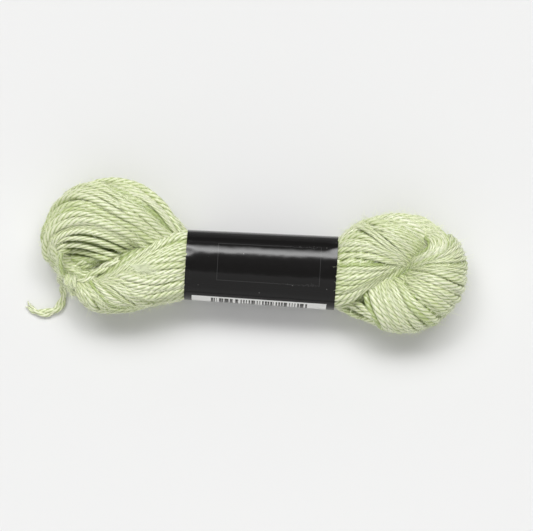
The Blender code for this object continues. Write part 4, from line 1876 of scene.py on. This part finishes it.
@dataclass
class LeftBulb:
    """The left rosette: the loop wraps round the end, the front ply tapers into the tie."""

    thread: Thread
    front: Ply = ply_of(LEFT_FRONT)
    loop: Ply = ply_of(LEFT_LOOP)
    hollow: Ply = ply_of(LEFT_HOLLOW)

    def layers(self) -> list[Layer]:
        """Where the layer under the outer strands runs."""
        return [Layer(self.front, (0.02, 0.98), 0.95), Layer(self.loop, (0.02, 0.98), 1.1)]

    def front_floss(self) -> Bundle:
        """Strands that come out of the band and gather at the tie."""
        bundle = Bundle(self.thread, Seed.LEFT_FRONT)
        look = dict(turn=(-20.0, 215.0), enter=0.05, drift=120.0, tail=5.5)
        Fan(self.front, FRONT_LEFT, (0.02, 0.95), **look).lay(bundle)
        Lengthwise(self.front, (0.05, 0.9), (212.0, 300.0), twist=-15.0).lay(bundle)
        Lengthwise(self.front, (0.05, 0.86), (-75.0, -8.0)).lay(bundle)
        return bundle

    def loop_floss(self) -> Bundle:
        """Strands that fan out of the crease and round the left end."""
        bundle = Bundle(self.thread, Seed.LEFT_LOOP)
        families = (
            (LOOP_LEFT[:2], dict(depth=-0.2, uneven=0.3, stray=0.2, tone=0.6)),
            # These lie deeper and in the lowest tone: a dark band of painted shade between the outer strands.
            (LOOP_LEFT[1:3], dict(depth=1.1, uneven=0.2, stray=0.0, tone=0.0)),
            (LOOP_LEFT[2:9], dict(uneven=0.22, stray=0.2)),
            (LOOP_LEFT[:2], dict(depth=-0.8, spread=1.6, uneven=0.4, stray=0.5, tone=0.6)),
            (LOOP_LEFT[2:9], dict(depth=-0.5, spread=4.0, uneven=0.4, stray=0.5, tone=0.6)),
        )
        for guides, look in families:
            Fan(self.loop, guides, (0.02, 0.68), (-25.0, 215.0), head=5.0, tail=10.0, **look).lay(bundle)
        over = Heights([self.loop, self.hollow])
        Drape(over, LOOP_LEFT[8:], spread=1.45).lay(bundle)
        # The hollow's strands are laid in a low tone: painted shade.
        Drape(over, HOLLOW_LEFT, proud=-1.8, spread=0.9).lay(bundle, tone=0.1)
        return bundle

    def under_floss(self) -> Bundle:
        """Strands at the loop's back and underside."""
        bundle = Bundle(self.thread, Seed.LEFT_UNDER)
        Lengthwise(self.loop, (0.035, 0.99), (-125.0, -8.0), depth=0.25).lay(bundle)
        Lengthwise(self.loop, (0.47, 0.99), (5.0, 230.0), depth=0.5).lay(bundle)
        # The low tone darkens the hollow's strands as painted shade.
        Lengthwise(self.hollow, (0.0, 1.0), (5.0, 175.0), depth=1.7, tone=0.05).lay(bundle)
        return bundle


@dataclass
class LooseFibres:
    """Fine fibres that stand off the floss all over, as a faint halo.

    Attributes:
        clear: how far from the band's ends none grow (mm).
    """

    seed: Seed
    sides: int = 3
    rings: int = 4
    clear: float = 2.2
    thick: Pair = (0.022, 0.045)
    taper: float = 0.6
    root: float = 0.85
    spread: float = 0.9
    lowest: float = 0.08

    def __post_init__(self) -> None:
        """Starts with no fibres."""
        self.rng = np.random.default_rng(int(self.seed))
        self.points: list[Rows] = []

    def grow(
        self,
        bundle: Bundle,
        middle: Sequence[float],
        count: int = 2300,
        length: Pair = (0.8, 2.8),
        lift: float = 0.6,
    ) -> None:
        """Grows fibres from a bundle's strands.

        Args:
            bundle: the strands.
            middle: a point inside the bulb (mm); fibres grow away from it.
            count: how many.
            length: their least and greatest length (mm).
            lift: how steeply they stand up, 0 to 1.
        """
        rng = self.rng
        weights = np.array([len(path) for path, _ in bundle.paths], dtype=float)
        for pick in rng.choice(len(bundle.paths), size=count, p=weights / weights.sum()):
            path, radius = bundle.paths[pick]
            index = int(rng.integers(1, len(path) - 1))
            if abs(path[index, 0]) < 0.5 * BAND.length + self.clear:
                continue
            ahead = unit(path[index + 1] - path[index - 1])
            out = path[index] - np.asarray(middle)
            out -= ahead * np.dot(out, ahead)
            if np.linalg.norm(out) < 1.0:
                continue
            out = unit(out)
            angle = rng.normal(0.0, self.spread)
            away = out * math.cos(angle) + np.cross(ahead, out) * math.sin(angle)
            start = path[index] + away * radius[index] * self.root
            heading = away * lift * rng.uniform(0.4, 1.3)
            heading = heading + ahead * rng.choice((-1.0, 1.0)) * rng.uniform(0.4, 1.0)
            self.fibre(start, heading, away, float(rng.uniform(*length)))

    def tuft(self, over: Heights, middle: Pair, size: Pair, heading: float, count: int) -> None:
        """Lays a rubbed patch of fibres flat over the floss.

        Args:
            over: the tops of the plies below.
            middle: the patch's middle as (x, y) (mm).
            size: its half length and half width (mm).
            heading: the way its fibres lie, in degrees.
            count: how many fibres.
        """
        rng = self.rng
        turn = math.radians(heading)
        ahead = np.array([math.cos(turn), math.sin(turn)])
        across = np.array([-math.sin(turn), math.cos(turn)])
        for _ in range(count):
            spot = np.array(middle) + ahead * size[0] * rng.normal(0, 0.5)
            spot = spot + across * size[1] * rng.normal(0, 0.5)
            height = float(over.at(spot[None, :])[0]) + rng.uniform(-0.1, 0.2)
            lie = turn + rng.normal(0.0, 0.35)
            along = np.array([math.cos(lie), math.sin(lie), rng.normal(0.0, 0.05)])
            away = np.array([0.0, 0.0, 0.15])
            self.fibre(np.array([*spot, height]), along, away, float(rng.uniform(1.0, 3.0)))

    def fibre(self, start: Rows, heading: Rows, away: Rows, length: float) -> None:
        """Adds one curved, tapering fibre.

        Args:
            start: where it starts (mm).
            heading: the way it sets out.
            away: the way out of the floss; it bends back from it.
            length: how long it is (mm).
        """
        rng = self.rng
        heading = unit(heading)
        bend = rng.normal(0.0, 0.35, 3) - 0.25 * away
        t = np.linspace(0.0, 1.0, self.rings)[:, None]
        path = start + heading * length * t + bend * length * t**2
        path[:, 2] = np.maximum(path[:, 2], self.lowest)
        across = unit(np.cross(heading, (0.3, 0.5, 0.8)))
        other = np.cross(heading, across)
        radius = rng.uniform(*self.thick) * (1.0 - self.taper * t)
        self.points.append(rings_round(path, across, other, radius, turns_round(self.sides)))

    def mesh_object(self, name: str) -> Piece:
        """Makes one mesh of all fibres.

        Args:
            name: the piece's name.

        Returns:
            The new object, with its place in its mesh.
        """
        starts = np.arange(len(self.points))[:, None, None] * self.rings * self.sides
        faces = []
        for part in tube_faces(self.rings, self.sides):
            faces += (starts + part).reshape(-1, part.shape[1]).tolist()
        return Frame.piece(name, np.concatenate(self.points).reshape(-1, 3), faces)


@dataclass
class Tie:
    """The tie strand, its knot with a cut stub, and its frayed free end.

    Attributes:
        sizes: how thick it is, evenly spaced along it, relative to the thread.
        lay_length: the length in which its two halves go once round each other (mm).
        apart: how far each half is from the middle, relative to the thread's diameter.
        knot_reach: how far they go along the tie, to each side (mm).
        frayed: how many loose plies stick out of the free end.
    """

    thread: Thread
    sizes: tuple[float, ...] = (1.2, 1.35, 1.3, 1.0, 0.8, 0.85, 1.15, 1.4, 1.35, 0.95)
    diameter: float = 1.4
    lay_length: float = 9.0
    apart: float = 0.24
    rest: float = 0.62
    knot_radius: float = 1.15
    knot_turns: float = 2.6
    knot_reach: float = 1.25
    frayed: int = 6

    def build(self, silk: Material, fibres: LooseFibres) -> None:
        """Args:
            silk: its finish.
            fibres: takes its loose fibres.
        """
        route = even_path(smooth_through(TIE_ROUTE, 400), 0.4)
        bundle = Bundle(self.thread, Seed.TIE)
        for half in (0.0, math.pi):
            path = self.half_path(route, half)
            bundle.sweep(path, size=0.7, ends=0.5, loosen=1.1, sizes=self.sizes, tone=0.75)
        self.fray(bundle, route)
        strand = dress(bundle.mesh_object("tie_strand"), silk, Slot.TIE, "tie_thread")
        turns = Bundle(self.thread, Seed.KNOT)
        turns.sweep(self.knot_path(), size=0.75, ends=0.6, tone=0.6)
        turns.sweep(self.spun(KNOT_STUB), size=1.0, ends=0.4, tone=0.6)
        turns.sweep(self.spun(RISER), size=0.8, ends=0.8, tone=0.5)
        knot = dress(turns.mesh_object("tie_knot_turns"), silk, Slot.TIE, "tie_knot")
        fibres.grow(turns, KNOT_MIDDLE, 480, length=(0.8, 2.6), lift=0.9)
        fibres.grow(bundle, KNOT_MIDDLE, 160, length=(0.5, 1.5), lift=0.8)
        points = route * MM + Frame.shift()

    def half_path(self, route: Rows, start: float) -> Rows:
        """The centre line of one of the two halves that are twisted into the tie.

        Args:
            route: the tie's own centre line (mm).
            start: the half's angle at the tie's start (radians).

        Returns:
            Its points (mm).
        """
        side, up = level_frames(route)
        angle = start - 2 * math.pi * lengths_along(route) / self.lay_length
        size = smooth_through(self.sizes, len(route))
        out = self.apart * self.thread.diameter * size
        path = route + side * (out * np.cos(angle))[:, None] + up * (0.8 * out * np.sin(angle))[:, None]
        path[:, 2] = np.maximum(path[:, 2], self.rest * size)
        return path

    @staticmethod
    def spun(points: Sequence) -> Rows:
        """A smooth centre line through a few points (mm)."""
        return smooth_through(points, 40)

    def fray(self, bundle: Bundle, route: Rows) -> None:
        """Lets a few thin plies stick out of the free end.

        Args:
            bundle: takes them.
            route: the tie's centre line (mm).
        """
        rng = bundle.rng
        end, back = route[-1], route[-6]
        ahead = unit(end - back)
        for _ in range(self.frayed):
            side = rng.normal(0.0, 0.32, 3) * (1.0, 1.0, 0.4)
            reach = rng.uniform(0.1, 0.6)
            points = np.array([back + 0.4 * side, end + 0.9 * side, end + ahead * reach + 2.0 * side])
            points[:, 2] = np.maximum(points[:, 2], 0.28)
            bundle.sweep(self.spun(points), sides=8, size=0.34, ends=0.5, tone=0.8)

    def knot_path(self) -> Rows:
        """The centre line of a few turns drawn tight round the tie (mm)."""
        before, centre, after = np.array(TIE_ROUTE[KNOT_POINT - 1 : KNOT_POINT + 2])
        along = unit(after - before)
        side = unit(np.cross(along, UP))
        share = np.linspace(0.0, 1.0, 110)
        angle = share * self.knot_turns * 2 * math.pi
        rise = self.knot_reach * np.sin(share * math.pi * 1.5 - 0.75 * math.pi)
        wide = self.knot_radius * (1.0 + 0.12 * np.sin(3.1 * angle))
        across = np.outer(wide * np.cos(angle), side) + np.outer(wide * np.sin(angle), np.cross(side, along))
        return centre + np.outer(rise, along) + across


@dataclass(frozen=True)
class Glow:
    """A soft bright area of the room around, with faded edges.

    Attributes:
        turn: the side it is on, 0 behind, 90 to the left, 180 in front (degrees).
        strength: how bright it is.
        low: between which heights it fades in, 0 level to 1 straight above.
        high: between which heights it fades out.
        reach: between which cosines off its own side it fades in.
    """

    turn: float
    strength: float
    low: Pair
    high: Pair
    reach: Pair = (0.3, 0.85)

    def add(self, nodes: Nodes, sides: Sequence[Socket], height: Socket) -> Socket:
        """Makes its brightness.

        Args:
            nodes: takes the nodes.
            sides: how far to the right and how far behind the direction points.
            height: how far up it points.

        Returns:
            The brightness.
        """
        turn = math.radians(self.turn)
        across = nodes.product(sides[0], -math.sin(turn))
        facing = nodes.ramp(nodes.math("MULTIPLY_ADD", sides[1], math.cos(turn), across), *self.reach)
        belt = nodes.math("SUBTRACT", nodes.ramp(height, *self.low), nodes.ramp(height, *self.high))
        return nodes.product(belt, facing, self.strength)


@dataclass(frozen=True)
class Surround:
    """A plain soft-lit room: bright behind, dim overhead."""

    ceiling: float = 0.06
    ceiling_edge: Pair = (0.86, 0.95)
    glows: tuple[Glow, ...] = (
        Glow(4.0, 0.5, (0.0, 0.15), (0.45, 0.60), (0.38, 0.82)),
        Glow(4.0, 11.0, (0.62, 0.88), (0.87, 0.925), (0.45, 0.85)),
        Glow(90.0, 0.4, (0.0, 0.10), (0.25, 0.40)),
        Glow(90.0, 1.2, (0.84, 0.95), (0.98, 0.998)),
        Glow(-90.0, 0.3, (0.0, 0.10), (0.25, 0.40)),
        Glow(-90.0, 1.1, (0.84, 0.95), (0.98, 0.998)),
        Glow(180.0, 0.9, (0.0, 0.10), (0.25, 0.40)),
        Glow(180.0, 0.78, (0.25, 0.40), (0.96, 0.98), (0.40, 0.80)),
    )

    def build(self) -> None:
        """Makes the world."""
        world = bpy.data.worlds.new("soft_room")
        bpy.context.scene.world = world
        world.use_nodes = True
        nodes = Nodes(tree=world.node_tree)
        x, y, z = nodes.parts(nodes.add("ShaderNodeTexCoord").outputs["Generated"])
        level = nodes.math("MAXIMUM", nodes.math("SUBTRACT", 1.0, nodes.product(z, z)), 1e-4)
        level = nodes.math("SQRT", level)
        sides = [nodes.math("DIVIDE", part, level) for part in (x, y)]
        total = nodes.product(nodes.ramp(z, *self.ceiling_edge), self.ceiling)
        for glow in self.glows:
            total = nodes.math("ADD", total, glow.add(nodes, sides, z))
        nodes.fill(nodes.tree.nodes["Background"], {"Color": (1.0, 1.0, 1.0), "Strength": total})


class Studio:
    """The table, the soft light and the camera."""

    SENSOR = 36.0
    CLIP = (0.05, 10.0)
    TABLE = 4.0

    def build(self) -> None:
        """Makes them all."""
        self.camera()
        self.table()
        self.lights()

    def camera(self) -> None:
        """Looks straight down from far away, at the photograph's own turn."""
        data = bpy.data.cameras.new("camera")
        data.sensor_width = self.SENSOR
        data.lens = self.SENSOR * View.DISTANCE / View.WIDTH
        data.clip_start, data.clip_end = self.CLIP
        camera = Frame.link("camera", data)
        camera.location = np.array([*View.CENTRE, View.PLANE_Z + View.DISTANCE]) * MM + Frame.shift()
        camera.rotation_euler = (0.0, 0.0, math.radians(View.TURN))
        bpy.context.scene.camera = camera

    def table(self) -> None:
        """A wide pale table top."""
        Shop.clear()
        bpy.ops.mesh.primitive_plane_add(size=self.TABLE, location=(0.0, 0.0, 0.0))
        top = bpy.context.object
        top.name = "table_top"
        top.data.materials.append(TableFinish().material())

    def lights(self) -> None:
        """The room's own light."""
        Surround().build()
        bpy.context.scene.view_settings.view_transform = "Standard"


def main() -> None:
    """Builds the skein, its band and its tie."""
    logging.basicConfig(level=logging.INFO, format="%(message)s")
    Studio().build()
    thread = Thread()
    silk = SilkFinish().material()
    fibres = {"left": LooseFibres(Seed.LEFT_FIBRES), "right": LooseFibres(Seed.RIGHT_FIBRES)}
    Tie(thread).build(silk, fibres["left"])
    BAND.dress()
    right, left = RightBulb(thread), LeftBulb(thread)
    core = Core([Ply(NECK), right.front, right.inner, left.front, left.loop, left.hollow]).build()
    dress(core, CORE_SHADE_SILK.material(), Slot.SILK, "skein")
    bundles = {
        "right_base_floss": base_floss(right.layers(), thread, Seed.RIGHT_BASE),
        "left_base_floss": base_floss(left.layers(), thread, Seed.LEFT_BASE),
        "right_front_floss": right.front_floss(),
        "right_under_floss": right.under_floss(),
        "right_fan_floss": right.fan_floss(),
        "left_front_floss": left.front_floss(),
        "left_loop_floss": left.loop_floss(),
        "left_under_floss": left.under_floss(),
    }
    fibres["left"].tuft(Heights([left.front]), RUBBED_SPOT, (2.5, 0.8), -8.0, 420)
    for name, bundle in bundles.items():
        dress(bundle.mesh_object(name), silk, Slot.SILK, "skein")
        end = name.split("_")[0]
        if "base" not in name:
            fibres[end].grow(bundle, BULB_MIDDLES[end])
    loose = LOOSE_SILK.material()
    for end, grown in fibres.items():
        dress(grown.mesh_object(f"{end}_loose_fibres"), loose, Slot.SILK)


if __name__ == "__main__":
    main()
